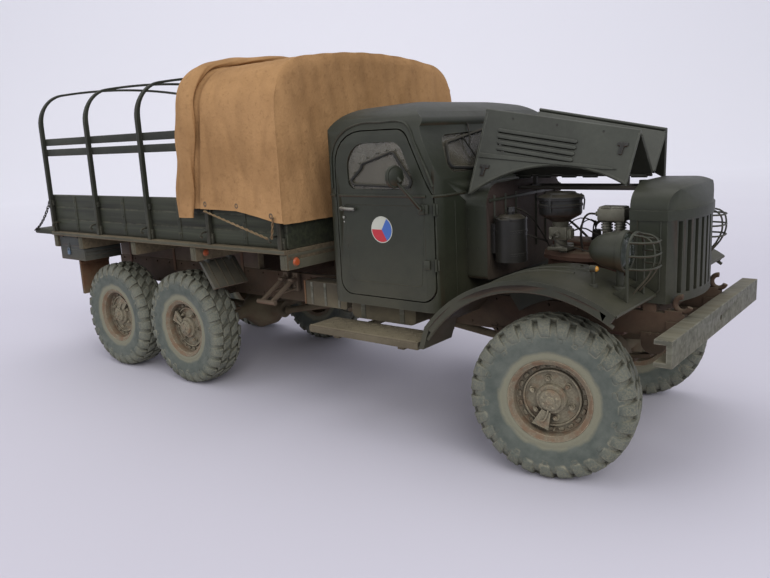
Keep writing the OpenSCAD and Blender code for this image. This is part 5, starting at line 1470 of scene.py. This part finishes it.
stuffed("seat_cushion", (-49.3, 37.35), (-36.3, 41.0), 22.9, "up", 0.1)
stuffed("seat_back", (-49.3, 41.0), (-46.25, 52.4), 22.9, "front", 0.12)

WHEEL_HUB = Matrix.Translation((-36.4, 11.6, 50.2)) @ Matrix.Rotation(math.radians(-32), 4, "Y")
bm = bmesh.new()
rim = [(5 * math.cos(math.tau * i / 24), 5 * math.sin(math.tau * i / 24), 0) for i in range(24)]
add_tube(bm, rim, 0.42, sides=12, closed=True)
for a in (90, 210, 330):
    c, s = math.cos(math.radians(a)), math.sin(math.radians(a))
    add_bar(bm, (0.5 * c, 0.5 * s, -0.3), (4.9 * c, 4.9 * s, 0), 0.24, sides=8)
add_lathe(
    bm, [(0, 0.35), (0.5, 0.35), (0.9, 0.1), (0.9, -1.0), (0.5, -1.2), (0.5, -20.4), (0, -20.4)], sides=20
)
bmesh.ops.transform(bm, matrix=WHEEL_HUB, verts=bm.verts)
piece("steering_wheel_rim", bm, "truck", BLACK_ENAMEL, stands_for=["steering_wheel"])

# ---- Running boards, tanks and boxes ----
# Treadplate running boards under a thick coat of tan dust, a strapped fuel tank under the cab, a
# battery box, a spare wheel carrier, a locked toolbox, mud flaps and slanting guard plates.
TAN_DUST = worn(
    "dusted treadplate", srgb(106, 98, 80), srgb(72, 65, 53), chip=srgb(150, 140, 118), chipped=0.5,
    low=0.021, high=0.024, on_top=0.45, below=0.3, under=srgb(78, 60, 44), rusty=0.6, gloss=0.85, bump=0.7,
    corner=0.002
)
TANK_PAINT = worn(
    "dusted tank", srgb(84, 77, 64), srgb(50, 46, 39), chip=srgb(142, 128, 104), chipped=0.6, low=0.024,
    high=0.03, below=0.6, on_top=0.3, under=srgb(60, 50, 40), rusty=0.5, gloss=0.8, corner=0.002
)
ARM_RUST = worn(
    "carrier rust", srgb(112, 96, 82), srgb(74, 58, 48), chip=srgb(158, 146, 128), chipped=0.6, below=0.3,
    on_top=0.2, gloss=0.8, rusty=0.8
)
FLAP_ORANGE = worn(
    "mud flap", srgb(128, 82, 52), srgb(88, 58, 40), chip=srgb(150, 112, 80), chipped=0.4, below=0.8,
    low=0.02, high=0.034, on_top=0.1, gloss=0.9, bump=0.6
)
BOX_SIDE = worn(
    "toolbox paint", srgb(62, 66, 64), srgb(42, 44, 42), chip=srgb(96, 100, 94), chipped=0.6, below=0.3,
    low=0.03, high=0.036, on_top=0.2, gloss=0.6, corner=0.001
)
LOCK_BLUE = worn(
    "padlock", srgb(86, 128, 164), srgb(56, 86, 116), chip=srgb(150, 156, 160), chipped=0.5, gloss=0.4
)
bm = from_cad("running_boards", easing=0.1)
for x in [-52.4 + 1.9 * i for i in range(15)]:
    for y in [25.0 + 1.45 * j for j in range(5)]:
        turn = 40 if (round((x + 52.4) / 1.9) + round((y - 25) / 1.45)) % 2 else -40
        for side in (1, -1):
            c, s = 0.5 * math.cos(math.radians(turn)), 0.5 * math.sin(math.radians(turn))
            add_bar(bm, (x - c, side * (y - s), 23.34), (x + c, side * (y + s), 23.34), 0.17, sides=6)
for side in (1, -1):
    add_bar(bm, (-53.6, side * 31.8, 23.3), (-24.8, side * 31.8, 23.3), 0.28, sides=8)
piece("running_board_plates", bm, "truck", TAN_DUST, stands_for=["running_boards"])
piece(
    "tank_and_side_box", from_cad("side_tanks", easing=0.25), "truck", TANK_PAINT, stands_for=["side_tanks"]
)
bm = bmesh.new()
for x in (-45.6, -34.8):
    add_box(bm, about(x, 0.6), (13.3, 23.12), (27.7, 28.05), bevel=0.05)
    add_box(bm, about(x, 0.6), (22.8, 23.14), (23.8, 28.05), bevel=0.05)
add_lathe(
    bm, [(0, 0.9), (0.9, 0.9), (1.1, 0.5), (1.1, 0.2), (0.8, 0.0), (0, 0.0)], sides=18,
    place=Matrix.Translation((-40, 19, 27.8))
)
for x in (-66.2, -61.8, -57.4):
    add_box(bm, about(x, 0.35), (17.9, 18.16), (23.9, 29.4), bevel=0.06)
both_sides(bm)
piece("tank_straps", bm, "truck", FADED)
bm = bmesh.new()
add_box(bm, (-68.75, -68.3), (13.6, 18.2), (23.7, 29.6), bevel=0.08)
both_sides(bm)
piece("side_box_end_strip", bm, "truck", FLAP_ORANGE)
bm = from_cad("spare_carrier", easing=0.08)
for x in (-80, -76.4):
    add_box(bm, about(x, 0.75), (-15.6, -13.0), (28.1, 28.8), bevel=0.1)
    add_bar(bm, (x - 0.1, -13.1, 26.0), (x - 1.6, -18.8, 25.1), 0.28, sides=8)
for x in (-80, -76.4):
    add_bolts(bm, [(x, -13.7, 26.6), (x, -13.7, 28.9)], (0, -1, 0), r=0.3, h=0.2)
piece("spare_arms", bm, "truck", ARM_RUST, stands_for=["spare_carrier"])
bm = from_cad("rear_boxes", easing=0.15)
for side in (1, -1):
    add_box(bm, (-157.6, -147.3), about(side * 31.9, 0.18), (35.6, 38.2), bevel=0.08)
    add_box(bm, (-157.6, -145.6), about(side * 31.9, 0.18), (31.9, 34.6), bevel=0.08)
    for x in (-156.4, -148.4):
        add_bar(bm, (x - 0.7, side * 32.1, 38.3), (x + 0.7, side * 32.1, 38.3), 0.22, sides=8)
    add_box(bm, (-153.5, -152.5), about(side * 32.1, 0.12), (33.9, 36.6), bevel=0.05)
    for z in (33.2, 34.4):
        add_box(bm, (-146.3, -144.75), about(side * 26, 5.6), about(z, 0.5), bevel=0.1)
piece("toolboxes_and_guards", bm, "truck", BOX_SIDE, stands_for=["rear_boxes"])
bm = bmesh.new()
for side in (1, -1):
    add_box(bm, (-153.6, -152.4), about(side * 32.3, 0.25), (33.0, 34.2), bevel=0.12)
    add_tube(
        bm,
        [
            (-153.4, side * 32.3, 34.1), (-153.4, side * 32.3, 34.8), (-152.6, side * 32.3, 34.8),
            (-152.6, side * 32.3, 34.1)
        ], 0.14, sides=8
    )
piece("padlocks", bm, "truck", LOCK_BLUE)
bm = bmesh.new()
for side in (1, -1):
    middle = side * 24.2
    add_box(bm, (-153.75, -153.4), about(middle, 4.75), (20.15, 31.3), bevel=0.08)
    add_box(bm, (-153.5, -153.1), about(middle, 4.75), (29.4, 30.2), bevel=0.05)
piece("mud_flaps", bm, "truck", FLAP_ORANGE)
bm = bmesh.new()
for side in (1, -1):
    for y in (19.5, 22.4, 24.6, 27.5):
        add_bar(bm, (-94.1, side * y, 34.0), (-89.5, side * y, 27.5), 0.3, sides=8)
    add_bolts(bm, [(-93.55, side * 19.9, 36.3), (-93.55, side * 27.1, 36.3)], (-1, 0, 0), r=0.35, h=0.1)
piece("guard_ribs", bm, "truck", TANK_PAINT)

# ---- Load bed ----
# A plank floor on five cross bearers and two long beams, sides of three planks each with worn
# edges, and a front board. A grooved lip with an orange reflector closes the bed's front edge.
BED_PLANKS = worn(
    "bed boards", srgb(50, 54, 38), srgb(30, 32, 23), chip=srgb(112, 108, 88), chipped=0.6, reach=0.00035,
    below=0.05, low=0.039, high=0.041, on_top=0.06, under=srgb(60, 52, 42), rusty=0.3, gloss=0.62, corner_shading=0.9,
    corner=0.003, bump=0.6, planks=2
)
FLOOR_WOOD = worn(
    "bed floor wood", srgb(104, 92, 72), srgb(70, 60, 46), chip=srgb(138, 126, 100), chipped=0.6, below=0.4,
    under=srgb(96, 76, 60), on_top=0.3, gloss=0.85, rusty=0.4, planks=2, bump=0.8
)
BEAM_MAUVE = worn(
    "beam paint", srgb(86, 70, 64), srgb(58, 46, 42), chip=srgb(124, 108, 96), chipped=0.6, below=0.3,
    low=0.029, high=0.035, on_top=0.2, gloss=0.8, rusty=0.7
)
EDGE_PALE = worn(
    "bearer ends", srgb(74, 74, 62), srgb(46, 46, 38), chip=srgb(120, 114, 94), chipped=0.6, on_top=0.2,
    gloss=0.75, rusty=0.4
)
STRAP_RED = worn(
    "strap iron", srgb(92, 46, 36), srgb(60, 32, 26), chip=srgb(124, 96, 80), chipped=0.5, on_top=0.1,
    gloss=0.75, rusty=0.6
)
REFLECTOR = worn(
    "orange reflector", srgb(196, 86, 38), srgb(150, 60, 26), chip=srgb(214, 140, 90), chipped=0.3,
    on_top=0.1, gloss=0.3
)
BEARER_X = [-159.4, -145.5, -118.4, -92.4, -60.1]
piece("bed_deck", from_cad("bed_floor", easing=0.12), "truck", FLOOR_WOOD, stands_for=["bed_floor"])
bm = bmesh.new()
for k in range(11):
    y = -30.3 + 5.8 * k
    add_box(
        bm, (-160.3, -60.4), (y - 2.8 + (0.6 if k == 0 else 0), min(y + 2.8, 30.4)), (39.62, 39.8), bevel=0.07
    )
piece("deck_planks", bm, "truck", FLOOR_WOOD)
bm = bmesh.new()
for side in (1, -1):
    add_box(bm, (-160.4, -59.1), about(side * 32.9, 0.14), (38.85, 39.6), bevel=0.08)
    for x in BEARER_X:
        add_box(bm, about(x, 1.05), about(side * 32.35, 0.2), (35.2, 38.6), bevel=0.12)
        add_box(bm, about(x, 0.55), about(side * 32.55, 0.12), (35.7, 38.0), bevel=0.05)
add_box(bm, (-59.15, -58.95), (-32.0, 32.0), (38.0, 38.7), bevel=0.08)
add_box(bm, (-59.15, -58.95), (-32.0, 32.0), (35.15, 37.3), bevel=0.08)
piece("bearer_ends_and_lip", bm, "truck", EDGE_PALE)
bm = bmesh.new()
for side in (1, -1):
    add_box(bm, (-157.5, -91.5), about(side * 11.4, 0.98), (29.85, 35.1), bevel=0.15)
piece("long_beams", bm, "truck", BEAM_MAUVE)
bm = bmesh.new()
for side in (1, -1):
    for x in (-152, -129, -98):
        add_box(bm, about(x, 0.55), about(side * 12.45, 0.14), (26.5, 34.9), bevel=0.06)
        add_bolts(bm, [(x, side * 12.5, 27.3), (x, side * 12.5, 33.9)], (0, side, 0), r=0.34, h=0.2)
piece("beam_straps", bm, "truck", STRAP_RED)
bm = bmesh.new()
for side in (1, -1):
    add_lathe(
        bm, [(0, 0.5), (0.75, 0.42), (1.05, 0.1), (1.05, -0.3), (0, -0.3)], sides=22,
        place=turned_at((-59.05, side * 29.64, 36.73), math.pi / 2, "Y")
    )
    add_lathe(
        bm, [(0, 0.34), (0.6, 0.3), (0.9, 0.1), (0.9, -0.3), (0, -0.3)], sides=18,
        place=turned_at((-91.4, side * 29.4, 36.8), math.pi / 2, "Y")
    )
piece("reflectors", bm, "truck", REFLECTOR)
bm = from_cad("bed_boards", easing=0.1)
for side in (1, -1):
    for low, high in ((39.95, 43.35), (43.6, 47.0), (47.25, 50.6)):
        add_box(bm, (-160.4, -59.1), about(side * 31.15, 0.62), (low, high), bevel=0.16)
    for x in [-147 + 24.7 * i for i in range(4)]:
        add_box(bm, about(x, 0.7), about(side * 31.8, 0.14), (40.2, 50.3), bevel=0.07)
        add_bolts(bm, [(x, side * 31.9, z) for z in (41.6, 45.3, 48.9)], (0, side, 0), r=0.28, h=0.2)
piece("bed_planks", bm, "truck", BED_PLANKS, stands_for=["bed_boards"])

# ---- Hoops ----
# Five bent steel tubes stand in sockets clamped to the bed's sides, and two wooden rails bolted to
# them tie them together along each side. They carry the cover and are painted like the bed.
CORNER_Y, CORNER_Z, CORNER_RADIUS = 23.35, 70.85, 9
CROWN_Z, CROWN_RADIUS, CROWN_FROM, CROWN_HALF = -79.65, 161.3, 81.18, 24.75
HOOP_PLACES, HOOP_SPACING = (-159.3, -134.6, -109.9, -85.2, -60.5), 24.7
HOOP_GREEN = worn(
    "hoop paint", srgb(42, 46, 34), srgb(25, 27, 20), chip=srgb(110, 106, 90), chipped=0.55, below=0.3,
    on_top=0.08, gloss=0.6, corner_shading=0.9, rusty=0.3
)
bm = from_cad("hoops", easing=0.12)
for x in HOOP_PLACES:
    for side in (1, -1):
        for z in (41.4, 48.4):
            add_bolts(
                bm, [(x - 0.8, side * 32.35, z), (x + 0.8, side * 32.35, z)], (0, side, 0), r=0.24, h=0.25
            )
        for z in (63.1, 66.1):
            add_bolts(bm, [(x, side * 31.1, z)], (0, -side, 0), r=0.34, h=0.22)
for v in bm.verts:
    if v.co.z > 71.5:
        middle = Vector((
            math.copysign(CORNER_Y, v.co.y), CORNER_Z
        )) if abs(v.co.y) > CROWN_HALF else Vector((0, CROWN_Z))
        radius = CORNER_RADIUS if abs(v.co.y) > CROWN_HALF else CROWN_RADIUS
        out = Vector((v.co.y, v.co.z)) - middle
        thin = 1 - 0.42 * min(1.0, (v.co.z - 71.5) / 5)
        flat = middle + out.normalized() * (radius + (out.length - radius) * thin)
        v.co.y, v.co.z = flat
piece("hoops_and_rails", bm, "truck", HOOP_GREEN, stands_for=["hoops"])

# ---- Canvas cover ----
# A tan canvas sheet over the front two hoops, sagging a little between them and creased across
# its corners, hemmed with eyelets; its spare length is rolled up into one soft roll at the rear.


def canvas(name, light, dark, streak_and_shade_tone):
    """A coarse cloth between two tones, darker in its streaks, with painted shade in its hollows and a
    painted highlight on its folds.
    """
    made, tree, shader = new_material(name, Roughness=0.95, **{"Specular IOR Level": 0.12})
    where = put(tree, "TexCoord").outputs["Object"]
    fine = put(tree, "TexNoise", ("Vector", where), ("Scale", 900), ("Detail", 5), ("Roughness", 0.65))
    broad = put(tree, "TexNoise", ("Vector", where), ("Scale", 70), ("Detail", 4), ("Roughness", 0.6))
    weave = put(tree, "TexVoronoi", ("Vector", where), ("Scale", 1500))
    down = put(
        tree, "TexNoise",
        (
            "Vector",
            put(
                tree, "VectorMath", ("Vector", where), (1, (90, 90, 45)), operation="MULTIPLY"
            ).outputs["Vector"]
        ), ("Scale", 1), ("Detail", 3)
    )
    painted_shading = put(tree, "NewGeometry").outputs["Pointiness"]
    tone = blended(tree, ramp(tree, broad.outputs["Fac"], 0.38, 0.64, 0.0, 1.0), light, dark)
    tone = blended(tree, ramp(tree, down.outputs["Fac"], 0.55, 0.8, 0.0, 0.25), tone, streak_and_shade_tone)
    tone = blended(tree, ramp(tree, fine.outputs["Fac"], 0.55, 0.75, 0.0, 0.45), tone, streak_and_shade_tone)
    # Painted shade in the cloth's hollows and a painted highlight on its folds, both from pointiness.
    tone = blended(tree, ramp(tree, painted_shading, 0.5, 0.46, 0.0, 0.5), tone, streak_and_shade_tone)
    tone = blended(tree, ramp(tree, painted_shading, 0.515, 0.56, 0.0, 0.4), tone, light)
    tree.links.new(tone, shader.inputs["Base Color"])
    rough = sums(tree, "ADD", fine.outputs["Fac"], sums(tree, "MULTIPLY", weave.outputs["Distance"], 0.5))
    bump = put(tree, "Bump", ("Height", rough), ("Strength", 0.55), ("Distance", 0.0002))
    tree.links.new(bump.outputs["Normal"], shader.inputs["Normal"])
    return made


CANVAS = canvas("tan canvas", srgb(174, 136, 94), srgb(152, 117, 79), srgb(112, 84, 56))
EYELET_GREY = worn("eyelets", srgb(112, 92, 66), srgb(80, 64, 46), chipped=0.4, gloss=0.5)


def arch_section(grow, low, count):
    """Points along the hoop outline grown outward, evenly spaced from one lower edge to the other."""
    points = [(32.35 + grow, low)]
    for a in [math.radians(CROWN_FROM * i / 16) for i in range(17)]:
        points.append((
            CORNER_Y + (CORNER_RADIUS + grow) * math.cos(a), CORNER_Z + (CORNER_RADIUS + grow) * math.sin(a)
        ))
    for a in [math.radians(CROWN_FROM + (90 - CROWN_FROM) * i / 8) for i in range(1, 9)]:
        points.append(((CROWN_RADIUS + grow) * math.cos(a), CROWN_Z + (CROWN_RADIUS + grow) * math.sin(a)))
    points += [(-y, z) for y, z in reversed(points[:-1])]
    reach = [math.dist(a, b) for a, b in zip(points, points[1:])]
    spots, k, gone = [], 0, 0.0
    for i in range(count):
        want = sum(reach) * i / (count - 1)
        while k < len(reach) - 1 and gone + reach[k] < want:
            gone += reach[k]
            k += 1
        t = min(1.0, (want - gone) / reach[k])
        spots.append((
            points[k][0] + (points[k + 1][0] - points[k][0]) * t,
            points[k][1] + (points[k + 1][1] - points[k][1]) * t
        ))
    return spots


def hem_height(x):
    """How high the cover's side hem hangs, which drops towards the front."""
    stops = [(-93, 48.4), (-86, 48.4), (-73, 48.2), (-66, 47.0), (-60, 45.9), (-50, 45.5)]
    for (x0, z0), (x1, z1) in zip(stops, stops[1:]):
        if x <= x1:
            return z0 + (z1 - z0) * (x - x0) / (x1 - x0)
    return 45.5


def forward_lean(z):
    """How far the rolled end leans forward, from the foot of the hoop up to its corner."""
    return 3.4 * max(0.0, min(1.0, (z - 47) / 24))


AROUND, ALONG, CLOTH_THICKNESS = 150, 56, 0.45
bm = bmesh.new()
rows = []
for k in range(ALONG + 1):
    x = -90.2 + 32.1 * k / ALONG
    past_hoop = x - HOOP_PLACES[3]
    if x > HOOP_PLACES[3]:
        span = abs(math.sin(math.pi * past_hoop / HOOP_SPACING))
    else:
        span = 0.3 * abs(math.sin(math.pi * past_hoop / 10))
    row = []
    section = arch_section(1.42, hem_height(x), AROUND)
    for i, (y, z) in enumerate(section):
        t = i / (AROUND - 1)
        roof = max(0.0, 1 - abs(y) / 30)
        side = 1 - roof
        pull = 0.42 * span * roof ** 0.4
        wave = 0.14 * math.sin(x * 0.55 + t * 46) * math.sin(t * 19 + 1.3)
        wave += 0.1 * math.sin(x * 1.25 - z * 0.35 + (3 if y > 0 else 0))
        crease = 0.22 * math.exp(-((x + 72 + (z - 62) * 0.5) / 1.5) ** 2)
        crease += 0.18 * math.exp(-((x + 64 - (z - 58) * 0.35) / 1.1) ** 2)
        crease += 0.2 * math.exp(-((x + 81 + (z - 60) * 0.12) / 1.0) ** 2)
        inward = pull + side * (0.3 * wave + crease * min(1, side * 2)) + 0.05 * math.sin(x * 1.7 + y * 0.9)
        inward += 0.6 * math.exp(-((x + 87.2 - forward_lean(z)) / 0.7) ** 2)
        inward = min(0.85, max(-0.25, inward))
        away = Vector((
            0, y / 33 if abs(y) > 29 else y / 70, 1 if abs(y) < 29 else max(0, (z - 70) / 12)
        )).normalized()
        row.append(bm.verts.new((x, y - away.y * inward, z - away.z * inward)))
    rows.append(row)
for a, b in zip(rows, rows[1:]):
    for i in range(AROUND - 1):
        bm.faces.new((a[i], b[i], b[i + 1], a[i + 1]))
rim = rows[-1]


def top_at(y):
    """How high the cover lies over the hoops at a distance from the middle."""
    y = abs(y)
    if y < CROWN_HALF:
        return CROWN_Z + math.sqrt(162.7 ** 2 - y ** 2)
    if y < 33.6:
        return CORNER_Z + math.sqrt(max(0.0, 10.3 ** 2 - (y - CORNER_Y) ** 2))
    return CORNER_Z


columns = 74
face_rows = []
for j in range(45):
    face_row = []
    for i in range(columns + 1):
        y = -33.1 + 66.2 * i / columns
        top = top_at(y) - 0.75
        z = 45.6 + (top - 45.6) * j / 44
        edge = min(1.0, (33.3 - abs(y)) / 1.5, (top + 0.5 - z) / 1.5)
        fold = 0.2 * math.sin(y * 0.62 + 0.9 * math.sin(z * 0.2)) + 0.15 * math.sin(y * 1.5 + z * 0.3)
        fold += 0.28 * math.exp(-((abs(y) - 26 + (z - 60) * 0.22) / 0.9) ** 2)
        x = -57.65 - 0.7 * (1 - max(0.0, edge)) ** 2 + fold * max(0.0, edge) * 0.7
        face_row.append(bm.verts.new((min(x, -57.3), y, z)))
    face_rows.append(face_row)
for a, b in zip(face_rows, face_rows[1:]):
    for i in range(columns):
        bm.faces.new((a[i], a[i + 1], b[i + 1], b[i]))
border = [r[0] for r in face_rows] + face_rows[-1][1:-1] + [r[-1] for r in reversed(face_rows)]
bridge = [
    bm.edges.get((a, b)) for a, b in zip(border, border[1:])
] + [bm.edges.get((a, b)) for a, b in zip(rim, rim[1:])]
bmesh.ops.bridge_loops(bm, edges=[e for e in bridge if e])
bmesh.ops.recalc_face_normals(bm, faces=bm.faces)
bmesh.ops.solidify(bm, geom=bm.faces[:], thickness=CLOTH_THICKNESS)
bmesh.ops.recalc_face_normals(bm, faces=bm.faces)
cover_sheet = piece("canvas_cover", bm, "truck", CANVAS, stands_for=["cover"], smooth=70)

bm = bmesh.new()
LAYERS, ROUND = 150, 44
section = arch_section(2.1, 46.3, LAYERS)
for i, (y, z) in enumerate(section):
    t = i / (LAYERS - 1)
    swell = 1 + 0.10 * math.sin(t * 61) + 0.07 * math.sin(t * 23 + 1)
    ahead, behind = section[min(i + 1, LAYERS - 1)], section[max(i - 1, 0)]
    along = Vector((0, ahead[0] - behind[0], ahead[1] - behind[1])).normalized()
    out = Vector((0, along.z, -along.y))
    if out.dot(Vector((0, y, z - 60))) < 0:
        out = -out
    loop = []
    for k in range(ROUND):
        a = math.tau * k / ROUND
        ripple = 1 + 0.05 * math.sin(3 * a + i * 0.22) + 0.03 * math.sin(7 * a + i * 0.5)
        lip = 0.16 * math.exp(-((a - 2.2) / 0.16) ** 2)
        rx, ry = 3.15 * swell * ripple * (1 - lip), 1.12 * swell * ripple * (1 - lip)
        loop.append(bm.verts.new(
            Vector((-90.9 + forward_lean(z) + rx * math.cos(a), y, z)) + out * (ry * math.sin(a))
        ))
    if i:
        for k in range(ROUND):
            bm.faces.new((last[k], last[k - 1], loop[k - 1], loop[k]))
    else:
        bm.faces.new(loop)
    last = loop
bm.faces.new(list(reversed(last)))
bmesh.ops.recalc_face_normals(bm, faces=bm.faces)
piece("canvas_roll", bm, "truck", CANVAS, smooth=70)
bm = bmesh.new()
for side in (1, -1):
    for x in (-84.1, -72.8, -61.6):
        z = hem_height(x) + 1.2
        add_lathe(
            bm, [(0.3, 0.1), (0.55, 0.12), (0.7, 0.0), (0.7, -0.1), (0.3, -0.1)], sides=14,
            place=turned_at((x, side * 33.75, z), -side * math.pi / 2, "X")
        )
piece("cover_eyelets", bm, "truck", EYELET_GREY)

# ---- Lashings and straps ----
# Tan cords laid up from two strands run from the cover's eyelets down to wire hooks on the bed's
# sides, where they are pulled tight.
CORD_TAN = worn(
    "lashing cord", srgb(150, 126, 92), srgb(112, 92, 64), below=0.2, chipped=0.3, gloss=0.95, bump=1.0,
    size=2500
)
bm = bmesh.new()
for side in (1, -1):
    for a, b in (((-84.1, 34.3, 48.0), (-63, 33.9, 42.3)), ((-60.4, 34.3, 47.2), (-61.8, 33.9, 42.3))):
        start, end = Vector((a[0], side * a[1], a[2])), Vector((b[0], side * b[1], b[2]))
        reach = end - start
        across = Vector((0, side, 0))
        other = reach.normalized().cross(across)
        for strand in range(2):
            path = []
            steps = max(12, int(reach.length / 0.45))
            for i in range(steps + 1):
                a = strand * math.pi + i * 0.9
                path.append(
                    start + reach * (i / steps) + across * (0.13 * math.cos(a)) + other * (0.13 * math.sin(a))
                )
            add_tube(bm, path, 0.16, sides=6)
piece("lashings", bm, "truck", CORD_TAN, stands_for=["cover_ropes"])
bm = bmesh.new()
for side in (1, -1):
    for x in (-62.4, -86.5, -111.2, -135.9, -157):
        add_tube(
            bm,
            [
                (x, side * 31.6, 42.6), (x, side * 33.4, 42.6), (x, side * 34.1, 42.2),
                (x, side * 34.1, 41.7), (x, side * 33.6, 41.5)
            ], 0.24, sides=8
        )
piece("rope_hooks", bm, "truck", HOOP_GREEN)

# ---- Tailgate ----
# Three planks on four iron straps, hinged below the bed's rear edge. It lies open on two chains
# whose links are bent wire.
bm = from_cad("tailgate", easing=0.1)
for x0, x1 in ((-164.9, -162.4), (-169.0, -165.3), (-173.2, -169.4)):
    for z in (38.62, 39.98):
        add_box(bm, (x0, x1), (-31.5, 31.5), (z - 0.1, z + 0.06), bevel=0.05)
for y in (-24, -8, 8, 24):
    add_box(bm, (-172.6, -161.9), about(y, 0.85), (38.5, 38.66), bevel=0.05)
    add_bolts(bm, [(x, y, 38.55) for x in (-171, -167, -163.6)], (0, 0, -1), r=0.3, h=0.14)
piece("tailgate_planks", bm, "tailgate_body", BED_PLANKS, stands_for=["tailgate"])
bm = bmesh.new()
for side in (1, -1):
    top, low = Vector((-160.6, side * 32.15, 49.0)), Vector((-172.5, side * 32.15, 39.5))
    count = 17
    for i in range(count):
        t = (i + 0.5) / count
        spot = top.lerp(low, t) - Vector((0, 0, 4 * 1.4 * t * (1 - t)))
        ahead = (low - top) - Vector((0, 0, 4 * 1.4 * (1 - 2 * t)))
        frame_turn = ahead.to_track_quat("X", "Z").to_matrix().to_4x4() @ Matrix.Rotation(
            math.pi / 2 * (i % 2), 4, "X"
        )
        half_length, half_width = ahead.length / count * 0.68, 0.3
        ring = [
            Vector((
                half_length * math.cos(a), half_width * math.sin(a) * (1.15 if abs(math.cos(a)) < 0.7 else 1),
                0
            )) for a in [math.tau * k / 14 for k in range(14)]
        ]
        add_tube(bm, [Matrix.Translation(spot) @ frame_turn @ p for p in ring], 0.14, sides=7, closed=True)
piece("tailgate_links", bm, "truck", WIRE_BLACK, stands_for=["tailgate_chains"])
